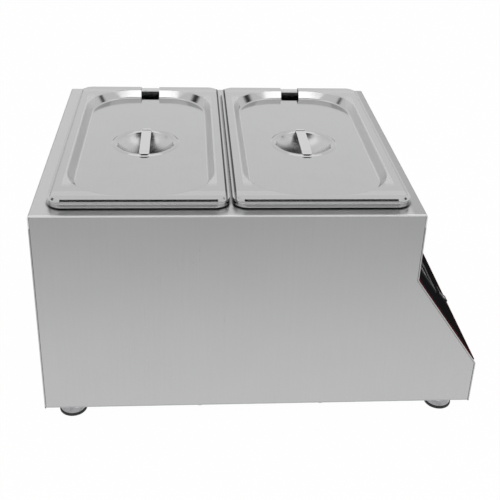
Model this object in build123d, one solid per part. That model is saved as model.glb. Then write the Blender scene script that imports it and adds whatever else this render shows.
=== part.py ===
from build123d import *
import os
from math import atan2, hypot, pi, radians, sqrt, tan

# Chocolate melter for two third-size gastronorm pans, in millimetres.
# X runs across the machine along the pans, -Y is the sloped control panel, +Z is up.
# The origin is the middle of the footprint, on the surface that the feet stand on.

# Gastronorm third-size pans
pan_length = 325.0
pan_width = 176.0
pan_depth = 100.0           # rim to underside
pan_gap = 3.0               # between the two rims
pan_sheet = 0.8
pan_rim_width = 10.0        # rim outside the wall
pan_mouth_corner = 24.0
pan_draft = 5.0             # wall slope in degrees
pan_foot_radius = 12.0
rim_corner = 15.0
rim_height = 6.2            # rim top over the deck
rim_bead = 5.6              # width of the rolled edge
rim_roll = 2.4              # lower rounding of the rolled edge

# Pressed lids
lid_sheet = 0.8
lid_lip = 2.2               # flat edge that lies on the pan rim
lid_step = 1.9              # 45 degree rise from the lip to the plateau
lid_border_end = 13.5       # from the lid's edge to the recess, at its ends
lid_border_side = 13.0
lid_recess_corner = 57.0
lid_recess_run = 6.6        # how far the recess wall leans in
lid_recess_depth = 9.5
lid_edge_round = 2.0
lid_floor_round = 3.0
notch_width = 22.5          # ladle slot at one end of the lid
notch_reach = 3.0           # how far the slot runs into the recess floor
notch_corner = 2.0
dish_ring_radius = 34.6     # middle of the raised ring round the handle dish
dish_ring_width = 7.0
dish_ring_height = 1.2
dish_depth = 14.0           # recess floor to the bottom of the bowl
strap_width = 11.0
strap_sheet = 1.2
strap_rise = 0.8
strap_foot = 5.0            # flat end, centred on the ring
strap_ramp = 4.2            # length of the slope from a foot to the grip
strap_bend = 3.5
strap_corner = 3.0

# Body sheets
deck_front_margin = 12.0    # deck left in front of the pans
deck_rear_margin = 15.0
deck_side_margin = 12.5
slope_run = 74.0            # how far the foot strip stands out past the deck
slope_top = 155.0           # upper fold of the sloped face, over the body's underside
slope_bottom = 51.0         # lower fold of the sloped face
under_room = 98.8           # from the body's underside to the wells
foot_height = 21.0
skin = 1.2                  # deck, apron, back and base sheet
cheek_sheet = 1.0
cheek_flange = 11.0         # in-turned edge all round a cheek
cheek_bend = 1.0            # outer radius of that edge
deck_fold = 2.5
slope_top_fold = 3.5
slope_bottom_fold = 4.5
base_fold = 1.6
least_fold = 0.3
deck_lip = 14.0             # turned-down front and back edges of the deck
seam = 0.3                  # hairline between neighbouring sheets

# Wells, heaters and insulation
well_clearance = 2.0        # all round the pan wall at its mouth
well_sheet = 1.0
well_air = 36.4             # under the pan
well_foot_radius = 8.0
flange_gap = 1.0            # between the flanges of the two wells
heater_margin_end = 34.5    # from the well's wall to the mat
heater_margin_side = 32.0
heater_corner = 6.0
heater_sheet = 3.0
press_sheet = 2.0
press_margin = 8.0          # press plate beyond the heater mat
stud_radius = 2.0
stud_play = 0.3
stud_inset_end = 32.0       # studs in from the mat's edges
stud_inset_side = 15.0
nut_across = 7.0            # across the flats of the small nuts
nut_thickness = 3.2
stud_tail = 2.0             # thread left showing past a nut
thread_play = 0.05
blanket_gap = 0.4           # between the two blankets
blanket_air = 0.3
blanket_top = 12.0          # below the deck
blanket_lift = 2.0          # above the well's lower rounding
probe_radius = 2.5
probe_length = 30.0
probe_fit = 0.05
saddle_sheet = 1.0
saddle_width = 10.0
saddle_ear = 9.0            # stud to bulb
saddle_ear_end = 3.0        # strip past the stud
saddle_gap = 5.2            # press plate to saddle stud
cutout_radius = 7.5
cutout_height = 11.0
cutout_spacing = 24.0       # between the two screws of a thermal cut-out
cutout_flange = 1.2
cutout_ear = 3.5
cutout_stud_radius = 1.5
cutout_nut_across = 5.5
cutout_tab_offset = 3.5
tab_length = 8.0            # flat push-on terminals
tab_width = 6.3
tab_sheet = 0.8

# Controls on the sloped face
overlay_sheet = 1.0
overlay_edge = 0.3          # bare metal at the cheeks
overlay_end = 3.5           # bare metal at the folds
overlay_corner = 3.0
control_inset = 91.0        # middle of a control group from the body's side
controller_rise = 17.0      # controller middle above the slope's middle
rocker_drop = 34.0          # rocker middle below the slope's middle
bezel_length = 75.0
bezel_height = 34.5
bezel_sheet = 2.0
bezel_corner = 2.5
bezel_round = 0.8
case_length = 70.6
case_height = 28.4
case_depth = 44.0
cutout_play = 0.2           # between a case and its cut-out
window_length = 34.0
window_height = 17.0
window_sheet = 1.2
window_recess = 1.0         # bezel face to window
window_offset = -14.0
button_length = 7.6
button_height = 5.6
button_play = 0.2
button_pitch = 9.6
button_rows = 9.4
button_offset = 19.5        # middle of the four buttons from the bezel's middle
button_proud = 0.9
button_wall = 1.5           # bezel left in front of a button's flange
button_flange = 0.8
button_lip = 0.5            # flange past the cap, all round
button_lip_play = 0.3
button_travel = 0.8
button_round = 0.5
button_behind = 0.6         # room left behind a pressed button
clip_length = 9.0
clip_height = 16.0
clip_thickness = 6.0
rocker_bezel_width = 15.0
rocker_bezel_height = 21.0
rocker_bezel_sheet = 1.6
rocker_bezel_corner = 1.2
rocker_body_width = 12.9
rocker_body_height = 19.0
rocker_body_depth = 17.0
rocker_tab_pitch = 5.0
rocker_key_width = 10.0
rocker_key_radius = 7.9
rocker_play = 0.2
rocker_throw = 18.0         # degrees from one rest to the other
rocker_crown = 1.2          # key valley over the pivot
rocker_belly = 4.6
rocker_pivot_drop = 1.6     # pivot below the bezel's face
rocker_pin_radius = 1.1
rocker_pin_length = 0.8
pin_play = 0.05
pin_end_play = 0.1

# Feet
foot_inset = 26.0
foot_radius = 14.7
foot_ring_height = 3.4
foot_ring_width = 4.5
foot_ring_cover = 0.7       # ring outside the cup
foot_ring_bite = 0.8        # how deep the cup sits in the ring
foot_ring_fit = 0.15
foot_neck_radius = 9.0
foot_neck_length = 4.5
foot_neck_flare = 0.6
foot_cup_sheet = 1.2
foot_cup_lean = 0.6
foot_cup_skirt = 4.6        # inner height of the cup's straight skirt
foot_seat_drop = 6.2        # screw seat below the cup's top
foot_screw_radius = 3.0
foot_screw_play = 0.15
foot_screw_tail = 2.0
foot_head_radius = 5.6
foot_head_height = 3.4
foot_nut_across = 10.0
foot_nut_thickness = 5.0

# Base plate, cord entry and wiring blocks
vent_length = 42.0
vent_width = 4.0
vent_pitch = 11.0
vent_count = 6
base_screw_radius = 2.0
base_screw_play = 0.15
base_screw_length = 8.0
base_screw_head = 3.8
base_screw_head_height = 1.6
base_screw_inset = 33.0     # first and last screw from the body's ends
base_screw_count = 4
gland_inset = 57.0          # from the body's side
gland_height = 34.0         # over the base plate
gland_bore = 4.0
gland_barrel = 7.5
gland_length = 22.0
gland_head_across = 20.0
gland_head = 4.0            # outside the back panel
gland_head_chamfer = 1.0
gland_nut_thickness = 5.0
gland_play = 0.2
terminal_length = 58.0
terminal_depth = 22.0
terminal_height = 17.0
terminal_ways = 3
terminal_ear = 10.0         # low end of the block that takes a screw
terminal_ear_height = 8.0
terminal_wall = 1.5
terminal_pocket_depth = 5.0
terminal_pocket_width = 12.0
terminal_bore = 2.4
terminal_bore_height = 7.0
terminal_screw_radius = 1.7
terminal_head_radius = 3.1
terminal_head_height = 2.2
terminal_screw_point = 1.5  # screw end under the base plate
terminal_inset_x = 83.0     # in from the body's side
terminal_inset_y = 42.0     # in from the back panel
earth_offset_x = 34.0       # from the block's end
earth_height = 14.0
earth_nut_pitch = 6.0

# Places worked out from the sizes above
pan_pitch = pan_width + pan_gap
body_width = pan_length + 2 * deck_side_margin
top_depth = pan_width + pan_pitch + deck_front_margin + deck_rear_margin
base_depth = top_depth + slope_run
well_depth = pan_depth - rim_height - skin + well_air + well_sheet
body_height = skin + well_depth + under_room
half_width = body_width / 2
rear_y = base_depth / 2
front_y = -base_depth / 2
deck_front_y = rear_y - top_depth
base_z = foot_height
base_top = base_z + skin
deck_z = base_z + body_height
lip_z = deck_z - deck_lip
rim_z = deck_z + rim_height
plateau_z = rim_z + lid_sheet + lid_step
recess_z = plateau_z - lid_recess_depth
dish_z = recess_z - dish_depth
front_pan_y = deck_front_y + deck_front_margin + pan_width / 2
pan_y = {"rear": front_pan_y + pan_pitch, "front": front_pan_y}
beyond = half_width + 5
cutter = 40.0               # length of a tool that cuts right through a sheet

# Rounded rectangles, each as length, width and corner radius
pan_outline = (pan_length, pan_width, rim_corner)
pan_mouth = (pan_length - 2 * pan_rim_width, pan_width - 2 * pan_rim_width, pan_mouth_corner)
recess_rim = (pan_length - 2 * lid_border_end, pan_width - 2 * lid_border_side, lid_recess_corner)

# The wells hang under the deck and fill the pitch of the pans
well_top = deck_z - skin
well_under = well_top - well_depth
well_width = pan_mouth[1] + 2 * well_clearance
well_flange = (pan_pitch - flange_gap - well_width) / 2 - well_sheet
blanket_sheet = (pan_pitch - blanket_gap - well_width) / 2 - well_sheet - blanket_air
heater_length = pan_mouth[0] + 2 * well_clearance - 2 * heater_margin_end
heater_width = well_width - 2 * heater_margin_side
press_z = well_under - heater_sheet - press_sheet
stud_x = heater_length / 2 - stud_inset_end
stud_y = heater_width / 2 - stud_inset_side
stud_places = [(x, y) for x in (-stud_x, stud_x) for y in (-stud_y, stud_y)]
saddle_stud_x = saddle_width / 2
saddle_stud_y = heater_width / 2 + press_margin + saddle_gap
probe_y = saddle_stud_y + saddle_ear

# Base, feet and wiring
foot_places = [(x, y) for x in (-half_width + foot_inset, half_width - foot_inset)
               for y in (front_y + foot_inset, rear_y - foot_inset)]
cup_low = foot_ring_height - foot_ring_bite
cup_radius = foot_radius - foot_ring_cover
foot_bore = foot_screw_radius + foot_screw_play
foot_seat_z = foot_height - foot_seat_drop
base_screw_x = half_width - (cheek_flange + cheek_sheet) / 2
base_screw_pitch = (base_depth - 2 * base_screw_inset) / (base_screw_count - 1)
base_screw_rows = [front_y + base_screw_inset + i * base_screw_pitch for i in range(base_screw_count)]
base_screw_places = [(x, y) for x in (-base_screw_x, base_screw_x) for y in base_screw_rows]
terminal_x = half_width - terminal_inset_x
terminal_y = rear_y - terminal_inset_y
terminal_screw_x = (terminal_length - terminal_ear) / 2
terminal_screw_places = [terminal_x - terminal_screw_x, terminal_x + terminal_screw_x]
earth_x = terminal_x - terminal_length / 2 - earth_offset_x
gland_middle = Vector(half_width - gland_inset, rear_y, base_top + gland_height)
gland_plane = Plane(origin=gland_middle, x_dir=(1, 0, 0), z_dir=(0, 1, 0))

# The sloped face: x across, y up the slope, z out of it
slope_rise = slope_top - slope_bottom
slope_length = hypot(slope_rise, slope_run)
slope_middle = Vector(0, (front_y + deck_front_y) / 2, base_z + (slope_top + slope_bottom) / 2)
slope_normal = Vector(0, -slope_rise, slope_run).normalized()
panel = Plane(origin=slope_middle, x_dir=(1, 0, 0), z_dir=slope_normal)
face_level = overlay_sheet + bezel_sheet
window_level = face_level - window_recess
button_low = face_level - button_wall - button_flange
rocker_pivot_z = overlay_sheet + rocker_bezel_sheet - rocker_pivot_drop
control_x = {"left": control_inset - half_width, "right": half_width - control_inset}

nodes = {}


def moved(shape, x=0.0, y=0.0, z=0.0):
    """The shape carried to a place."""
    return Pos(x, y, z) * shape


def region(low, high):
    """A plain block between two corners."""
    size = [high[i] - low[i] for i in range(3)]
    middle = [(high[i] + low[i]) / 2 for i in range(3)]
    return moved(Box(*size), *middle)


def rod(radius, low, high, x=0.0, y=0.0):
    """An upright round bar between two heights."""
    return moved(extrude(Circle(radius), high - low), x, y, low)


def nut(across, thickness, bore):
    """A hexagonal nut standing on z 0, its thread drawn as a plain bore."""
    return extrude(RegularPolygon(across / sqrt(3), 6) - Circle(bore), thickness)


def cross_rod(radius, length):
    """A round bar along X."""
    return Rot(0, 90, 0) * Cylinder(radius, length)


def shrunk(size, inset):
    """A rounded rectangle with every side moved in by the inset."""
    length, width, radius = size
    return (length - 2 * inset, width - 2 * inset, radius - inset)


def rounded_block(size, low, high):
    """An upright block with rounded corners between two heights."""
    return moved(extrude(RectangleRounded(*size), high - low), z=low)


def rounded_loft(low_size, high_size, low, high):
    """A block that changes from one rounded rectangle to another between two heights."""
    return loft([moved(RectangleRounded(*low_size), z=low), moved(RectangleRounded(*high_size), z=high)])


def loops_at(shape, height):
    """The edges of a shape that lie level at one height."""
    return [e for e in shape.edges() if abs(e.center().Z - height) < 0.01 and e.bounding_box().size.Z < 0.01]


# Body, drawn from its side profile: y forward and back, z up

def inset_corners(corners, inset):
    """Corners of a polygon whose sides all move in by one distance."""
    count = len(corners)
    moved_in = []
    for i, corner in enumerate(corners):
        before, after = corners[i - 1], corners[(i + 1) % count]
        first = (corner - before).normalized()
        second = (after - corner).normalized()
        reach = tan(atan2(first.cross(second).Z, first.dot(second)) / 2)
        inward = Vector(-first.Y, first.X)
        moved_in.append(corner + (inward - first * reach) * inset)
    return moved_in


def profile_face(inset):
    """The body's side profile, with every side moved in by the inset."""
    corners = [
        Vector(rear_y, base_z), Vector(rear_y, deck_z), Vector(deck_front_y, deck_z),
        Vector(deck_front_y, base_z + slope_top), Vector(front_y, base_z + slope_bottom),
        Vector(front_y, base_z),
    ]
    folds = [base_fold, deck_fold, deck_fold, slope_top_fold, slope_bottom_fold, base_fold]
    radii = [max(fold - inset, least_fold) for fold in folds]
    radii[folds.index(slope_top_fold)] = slope_top_fold + inset
    outline = FilletPolyline(*inset_corners(corners, inset), radius=radii, close=True)
    return Plane.YZ * make_face(outline)


def body_slice(inset, low_x, high_x):
    """The profile drawn out across part of the width."""
    return extrude(moved(profile_face(inset), x=low_x), high_x - low_x, dir=(1, 0, 0))


def outer_sheet(low_y, high_y, low_z, high_z):
    """The stretch of the folded outer sheet that lies inside a block."""
    sleeve = body_slice(0, -half_width, half_width) - body_slice(skin, -beyond, beyond)
    return sleeve & region((-beyond, low_y, low_z), (beyond, high_y, high_z))


def cheek():
    """Right cheek: a flat plate with its whole edge turned in."""
    root = half_width - cheek_flange
    shell = body_slice(skin, root, half_width)
    shell = fillet(shell.faces().sort_by(Axis.X)[-1].edges(), cheek_bend)
    plate = shell - body_slice(skin + cheek_sheet, root - 1, half_width - cheek_sheet)
    for y in base_screw_rows:
        plate -= rod(base_screw_radius + base_screw_play, base_z, base_top + 2 * cheek_sheet, base_screw_x, y)
    return plate


def top_deck():
    """Deck sheet with both long edges folded down and one cut-out for each pan."""
    sheet = outer_sheet(front_y, rear_y + 1, lip_z, deck_z + 1)
    cut_out = rounded_block(shrunk(pan_mouth, -well_clearance), deck_z - 2 * skin, deck_z + 1)
    for y in pan_y.values():
        sheet -= moved(cut_out, y=y)
    return sheet


def back_panel():
    """Back sheet, with the round hole for the cord gland."""
    sheet = outer_sheet(rear_y - skin, rear_y + 1, base_z, lip_z - seam)
    return sheet - gland_plane * Cylinder(gland_barrel + gland_play, cutter)


def panel_openings():
    """The controller and rocker cut-outs, as tools that pass through the sloped face."""
    cuts = []
    for x in control_x.values():
        case = Box(case_length + 2 * cutout_play, case_height + 2 * cutout_play, cutter)
        switch = Box(rocker_body_width + 2 * cutout_play, rocker_body_height + 2 * cutout_play, cutter)
        cuts.append(panel * moved(case, x, controller_rise))
        cuts.append(panel * moved(switch, x, -rocker_drop))
    return cuts


def front_apron():
    """Front sheet in one piece: upright strip, sloped control face and upright foot strip."""
    inner_y = deck_front_y + skin
    sheet = outer_sheet(front_y - 1, inner_y, base_z, lip_z - seam)
    sheet -= region((-beyond, front_y + skin, base_z - 1), (beyond, inner_y, base_top + base_fold))
    return sheet - panel_openings()


def control_overlay():
    """Thin front sheet bonded to the sloped face."""
    outline = RectangleRounded(body_width - 2 * overlay_edge, slope_length - 2 * overlay_end, overlay_corner)
    return panel * extrude(outline, overlay_sheet) - panel_openings()


# Base plate and what stands on it

def base_hole(radius, x, y):
    """A tool for one round hole through the base plate."""
    return rod(radius, base_z - 1, base_top + 1, x, y)


def base_plate():
    """Base sheet with feet, screw and block holes, and two rows of vent slots."""
    side = half_width - cheek_sheet - seam
    depth = base_depth / 2 - skin - seam
    plate = region((-side, -depth, base_z), (side, depth, base_top))
    for x, y in foot_places:
        plate -= base_hole(foot_bore, x, y)
    for x, y in base_screw_places:
        plate -= base_hole(base_screw_radius + base_screw_play, x, y)
    for x in terminal_screw_places:
        plate -= base_hole(terminal_screw_radius + base_screw_play, x, terminal_y)
    plate -= base_hole(stud_radius, earth_x, terminal_y)
    slot = moved(Box(vent_length, vent_width, 4 * skin), z=base_z)
    for x in (-half_width / 2, half_width / 2):
        for i in range(vent_count):
            plate -= moved(slot, x, (i - (vent_count - 1) / 2) * vent_pitch)
    return plate


def foot_cup():
    """Domed metal cup: a turned shell with a flat seat inside for the screw head."""
    neck_low = foot_height - foot_neck_length
    dome_in = foot_neck_radius + foot_neck_flare
    skirt = cup_radius - foot_cup_sheet
    with BuildSketch(Plane.XZ) as section:
        with BuildLine():
            Polyline((foot_bore, foot_height), (foot_neck_radius, foot_height), (dome_in, neck_low))
            EllipticalCenterArc((dome_in, cup_low), cup_radius - dome_in, neck_low - cup_low, arc_size=90)
            Polyline((cup_radius, cup_low), (skirt, cup_low), (skirt - foot_cup_lean, cup_low + foot_cup_skirt),
                     (foot_neck_radius - foot_cup_lean, foot_seat_z), (foot_bore, foot_seat_z),
                     (foot_bore, foot_height))
        make_face()
    return revolve(section.sketch, Axis.Z)


def foot_ring():
    """Rubber ring under the cup, with a groove that holds the cup's edge."""
    ring = extrude(Circle(foot_radius) - Circle(foot_radius - foot_ring_width), foot_ring_height)
    groove = Circle(cup_radius) - Circle(cup_radius - foot_cup_sheet - foot_ring_fit)
    return ring - moved(extrude(groove, foot_ring_height), z=cup_low)


def foot_screw():
    """Pan-head screw from inside the cup up through the base plate."""
    head_low = foot_seat_z - foot_head_height
    shank = rod(foot_screw_radius, foot_seat_z, base_top + foot_nut_thickness + foot_screw_tail)
    return shank + rod(foot_head_radius, head_low, foot_seat_z)


def each_foot(shape):
    """One copy of a foot piece at each corner."""
    return [moved(shape, x, y) for x, y in foot_places]


def base_screws():
    """Screws from below through the base plate into the cheeks' turned-in edges."""
    head = rod(base_screw_head, base_z - base_screw_head_height, base_z)
    screw = head + rod(base_screw_radius, base_z, base_z + base_screw_length)
    return [moved(screw, x, y) for x, y in base_screw_places]


def terminal_block():
    """Ceramic block with open cable ways between barriers and a low ear at each end."""
    top = base_top + terminal_height
    half_depth = terminal_depth / 2
    low_x, high_x = terminal_x - terminal_length / 2, terminal_x + terminal_length / 2
    body = region((low_x, terminal_y - half_depth, base_top),
                  (high_x, terminal_y + half_depth, base_top + terminal_ear_height))
    body += region((low_x + terminal_ear, terminal_y - half_depth, base_top),
                   (high_x - terminal_ear, terminal_y + half_depth, top))
    way = (terminal_length - 2 * terminal_ear) / terminal_ways
    pocket = Box(way - 2 * terminal_wall, terminal_pocket_width, 2 * terminal_pocket_depth)
    for i in range(terminal_ways):
        x = terminal_x + (i - (terminal_ways - 1) / 2) * way
        body -= moved(pocket, x, terminal_y, top)
        body -= moved(Rot(90, 0, 0) * Cylinder(terminal_bore, terminal_depth + 2), x, terminal_y,
                      base_top + terminal_bore_height)
    for x in terminal_screw_places:
        body -= rod(terminal_screw_radius + base_screw_play, base_z, top, x, terminal_y)
    return body


def terminal_screws():
    """Two screws that hold the block down through its ears."""
    seat = base_top + terminal_ear_height
    shank = rod(terminal_screw_radius, base_z - terminal_screw_point, seat)
    screw = shank + rod(terminal_head_radius, seat, seat + terminal_head_height)
    return [moved(screw, x, terminal_y) for x in terminal_screw_places]


def earth_stud():
    """Welded earth stud on the base plate."""
    return rod(stud_radius, base_z, base_top + earth_height, earth_x, terminal_y)


def earth_nuts():
    """Two nuts on the earth stud, with room between them for a ring terminal."""
    blank = nut(nut_across, nut_thickness, stud_radius)
    return [moved(blank, earth_x, terminal_y, base_top + i * earth_nut_pitch) for i in range(2)]


def cord_gland():
    """Gland body: hexagonal head outside the back panel and a barrel inside."""
    head = nut(gland_head_across, gland_head, gland_bore)
    head = chamfer(head.faces().sort_by(Axis.Z)[-1].outer_wire().edges(), gland_head_chamfer)
    barrel = extrude(Circle(gland_barrel) - Circle(gland_bore), gland_length)
    return gland_plane * (head + moved(barrel, z=-gland_length))


def gland_nut():
    """Lock nut that clamps the gland from inside."""
    lock = nut(gland_head_across, gland_nut_thickness, gland_barrel)
    return gland_plane * moved(lock, z=-skin - gland_nut_thickness)


# Wells and heaters, drawn about the middle of one pan

def well():
    """Deep-drawn well with a flange under the deck and weld studs under its floor."""
    inside = shrunk(pan_mouth, -well_clearance)
    outside = shrunk(inside, -well_sheet)
    outer = rounded_block(outside, well_under, well_top)
    outer += rounded_block(shrunk(outside, -well_flange), well_top - well_sheet, well_top)
    inner = rounded_block(inside, well_under + well_sheet, well_top + 1)
    inner = fillet(loops_at(inner, well_under + well_sheet), well_foot_radius)
    shell = outer - inner
    for x, y in stud_places:
        shell += rod(stud_radius, press_z - nut_thickness - stud_tail, well_under, x, y)
    saddle_end = well_under - saddle_sheet - nut_thickness - stud_tail
    return shell + rod(stud_radius, saddle_end, well_under, saddle_stud_x, saddle_stud_y)


def heater_sheet_block(margin, low, high):
    """A rounded sheet under the well, a margin larger than the mat, with holes for the studs."""
    sheet = rounded_block(shrunk((heater_length, heater_width, heater_corner), -margin), low, high)
    for x, y in stud_places:
        sheet -= rod(stud_radius + stud_play, low - 1, high + 1, x, y)
    return sheet


def heater_mat():
    """Flat heating mat against the well's floor."""
    return heater_sheet_block(0, well_under - heater_sheet, well_under)


def press_plate():
    """Plate that presses the mat to the well, with two studs for the thermal cut-out."""
    plate = heater_sheet_block(press_margin, press_z, press_z + press_sheet)
    for x in (-cutout_spacing / 2, cutout_spacing / 2):
        plate += rod(cutout_stud_radius, press_z - cutout_flange - nut_thickness - stud_tail, press_z, x)
    return plate


def thermal_cutout():
    """Disc cut-out with a two-eared flange against the press plate and two terminals."""
    ears = SlotOverall(cutout_spacing + 2 * cutout_ear, 2 * cutout_ear) + Circle(cutout_radius + cutout_flange)
    body = moved(extrude(ears, cutout_flange), z=-cutout_flange)
    body += moved(extrude(Circle(cutout_radius), cutout_height - cutout_flange), z=-cutout_height)
    for x in (-cutout_tab_offset, cutout_tab_offset):
        body += moved(Box(tab_sheet, tab_width, tab_length), x, 0, -cutout_height - tab_length / 2)
    for x in (-cutout_spacing / 2, cutout_spacing / 2):
        body -= rod(cutout_stud_radius + stud_play, -2 * cutout_flange, 1, x)
    return moved(body, z=press_z)


def probe():
    """Sensor bulb lying against the underside of the well."""
    return moved(cross_rod(probe_radius, probe_length), 0, probe_y, well_under - probe_radius)


def probe_saddle():
    """Strip clip: a flat ear under the stud nut and a loop round the bulb."""
    inner = probe_radius + probe_fit
    outer = inner + saddle_sheet
    reach = saddle_ear + saddle_ear_end
    loop = Circle(outer) - Circle(inner) - moved(Rectangle(2 * outer, outer), y=outer / 2)
    loop += moved(Rectangle(saddle_sheet, probe_radius), x=-(inner + outer) / 2, y=probe_radius / 2)
    ear = moved(Rectangle(reach - inner, saddle_sheet), x=-(reach + inner) / 2, y=probe_radius - saddle_sheet / 2)
    across = Plane(origin=(0, probe_y, well_under - probe_radius), x_dir=(0, 1, 0), z_dir=(1, 0, 0))
    strip = extrude(across * (loop + ear), saddle_width, dir=(1, 0, 0))
    return strip - rod(stud_radius + stud_play, well_under - cutter, well_under + 1, saddle_stud_x, saddle_stud_y)


def stud_nuts(y):
    """The nuts under one well: four on the press plate, one on the saddle, two on the cut-out."""
    stud_nut = nut(nut_across, nut_thickness, stud_radius + thread_play)
    small = nut(cutout_nut_across, nut_thickness, cutout_stud_radius + thread_play)
    nuts = [moved(stud_nut, x, y + dy, press_z - nut_thickness) for x, dy in stud_places]
    nuts.append(moved(stud_nut, saddle_stud_x, y + saddle_stud_y, well_under - saddle_sheet - nut_thickness))
    for x in (-cutout_spacing / 2, cutout_spacing / 2):
        nuts.append(moved(small, x, y, press_z - cutout_flange - nut_thickness))
    return nuts


def blanket():
    """Mineral wool wrap round the well's walls."""
    inside = shrunk(pan_mouth, -well_clearance - well_sheet - blanket_air)
    low = well_under + well_foot_radius + blanket_lift
    top = deck_z - blanket_top
    return rounded_block(shrunk(inside, -blanket_sheet), low, top) - rounded_block(inside, low - 1, top + 1)


# Pans and lids, drawn about the middle of one pan

def pan_cavity(size, top, bottom, foot_radius_here):
    """The drafted form of one face of the pan's wall, with a rounded floor."""
    lean = (top - bottom) * tan(radians(pan_draft))
    length, width, corner = size
    form = rounded_loft((length - 2 * lean, width - 2 * lean, corner), size, bottom, top)
    return fillet(loops_at(form, bottom), foot_radius_here)


def pan():
    """Gastronorm pan: drafted walls, rounded floor and a flat rim with a rolled edge."""
    floor = rim_z - pan_depth
    outer = pan_cavity(pan_mouth, rim_z, floor, pan_foot_radius + pan_sheet)
    inner = pan_cavity(shrunk(pan_mouth, pan_sheet), rim_z, floor + pan_sheet, pan_foot_radius)
    rim = rounded_block(pan_outline, deck_z, rim_z)
    rim = fillet(loops_at(rim, deck_z), rim_roll)
    rim = fillet(loops_at(rim, rim_z), pan_sheet)
    rim -= rounded_block(shrunk(pan_outline, rim_bead), deck_z - 1, rim_z - pan_sheet)
    return rim + outer - inner


def gauge_shift(sheet, run, rise):
    """How far a leaning wall's lower face moves out so that it keeps the sheet's thickness."""
    return sheet * tan(pi / 4 - atan2(run, rise) / 2)


def lid_form(sheet, rounded):
    """Solid under one face of the lid: lip, 45 degree step, plateau, recess, ring and dish."""
    foot = shrunk(pan_outline, lid_lip + gauge_shift(sheet, lid_step, lid_step))
    form = rounded_block(pan_outline, dish_z - lid_lip, rim_z + lid_sheet)
    form += rounded_loft(foot, shrunk(foot, lid_step), rim_z + lid_sheet, plateau_z)
    mouth = shrunk(recess_rim, -gauge_shift(sheet, lid_recess_run, lid_recess_depth))
    recess = rounded_loft(shrunk(mouth, lid_recess_run), mouth, recess_z, plateau_z)
    if rounded:
        recess = fillet(loops_at(recess, recess_z), lid_floor_round)
    form -= recess
    if rounded:
        form = fillet(recess_edges(form, mouth), lid_edge_round)
    form = form + dish_ring() - dish_cavity(sheet)
    return moved(form, z=-sheet)


def recess_edges(form, mouth):
    """The level edges round the recess, on top of the plateau."""
    length, width, _ = mouth
    return [e for e in loops_at(form, plateau_z)
            if abs(e.center().Y) < width / 2 + lid_step and abs(e.center().X) < length / 2 + lid_step]


def dish_ring():
    """Low rounded ring pressed round the handle dish."""
    half = dish_ring_width / 2
    radius = (half ** 2 + dish_ring_height ** 2) / (2 * dish_ring_height)
    inner, outer = dish_ring_radius - half, dish_ring_radius + half
    with BuildSketch(Plane.XZ) as section:
        with BuildLine():
            RadiusArc((inner, recess_z), (outer, recess_z), radius)
            Polyline((outer, recess_z), (outer, recess_z - 1), (inner, recess_z - 1), (inner, recess_z))
        make_face()
    return revolve(section.sketch, Axis.Z)


def dish_cavity(sheet):
    """The hollow of the round handle dish: a bowl of one radius, larger by the sheet's thickness below."""
    inner = dish_ring_radius - dish_ring_width / 2
    mouth = inner + sheet * dish_depth / inner
    radius = (mouth ** 2 + dish_depth ** 2) / (2 * dish_depth)
    with BuildSketch(Plane.XZ) as section:
        with BuildLine():
            RadiusArc((0, dish_z), (mouth, recess_z), -radius)
            Polyline((mouth, recess_z), (mouth, plateau_z), (0, plateau_z), (0, dish_z))
        make_face()
    return revolve(section.sketch, Axis.Z)


def lid():
    """Pressed lid with a ladle slot through one end; its upper face has the rounded bends."""
    sheet = lid_form(0, True) - lid_form(lid_sheet, False)
    notch_end = recess_rim[0] / 2 - lid_recess_run - notch_reach
    notch = region((notch_end, -notch_width / 2, dish_z), (pan_length, notch_width / 2, plateau_z + 1))
    return sheet - fillet(notch.edges().filter_by(Axis.Z).group_by(Axis.X)[0], notch_corner)


def lid_handle():
    """Flat strap bridged across the dish, with its ends welded on the ring."""
    foot_z = recess_z + dish_ring_height
    grip_z = foot_z + strap_rise
    end = dish_ring_radius + strap_foot / 2
    bend = end - strap_foot
    shoulder = bend - strap_ramp
    path = FilletPolyline((-end, foot_z), (-bend, foot_z), (-shoulder, grip_z), (shoulder, grip_z),
                          (bend, foot_z), (end, foot_z), radius=strap_bend)
    closing = Polyline(path @ 1, (end, dish_z), (-end, dish_z), path @ 0)
    below = make_face([*path.edges(), *closing.edges()])
    strap = extrude(Plane.XZ * (moved(below, y=strap_sheet) - below), strap_width / 2, both=True)
    for side in (0, -1):
        strap = fillet(strap.edges().filter_by(Axis.Z).group_by(Axis.X)[side], strap_corner)
    return strap


# Controls, drawn flat on the sloped face

def button_places(x):
    """The four button middles of one controller."""
    return [(x + button_offset + i * button_pitch / 2, controller_rise + j * button_rows / 2)
            for j in (1, -1) for i in (-1, 1)]


def layer(length, width, low, high, x, y):
    """A block on the sloped face between two levels."""
    return moved(Box(length, width, high - low), x, y, (low + high) / 2)


def controller_case(x):
    """Thermostat housing: front bezel, window pocket, button wells and the box behind."""
    y = controller_rise
    bezel = moved(extrude(RectangleRounded(bezel_length, bezel_height, bezel_corner), bezel_sheet), x, y,
                  overlay_sheet)
    case = fillet(bezel.edges().group_by(Axis.Z)[-1], bezel_round)
    case += layer(case_length, case_height, overlay_sheet - case_depth, overlay_sheet, x, y)
    case -= layer(window_length, window_height, window_level - window_sheet, face_level + 1, x + window_offset, y)
    lip = button_lip + button_lip_play
    back = button_low - button_travel - button_behind
    for bx, by in button_places(x):
        case -= layer(button_length + 2 * button_play, button_height + 2 * button_play, button_low,
                      face_level + 1, bx, by)
        case -= layer(button_length + 2 * lip, button_height + 2 * lip, back, face_level - button_wall, bx, by)
    return panel * case


def display_window(x):
    """Tinted window set back in the bezel."""
    return panel * layer(window_length, window_height, window_level - window_sheet, window_level,
                         x + window_offset, controller_rise)


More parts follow.
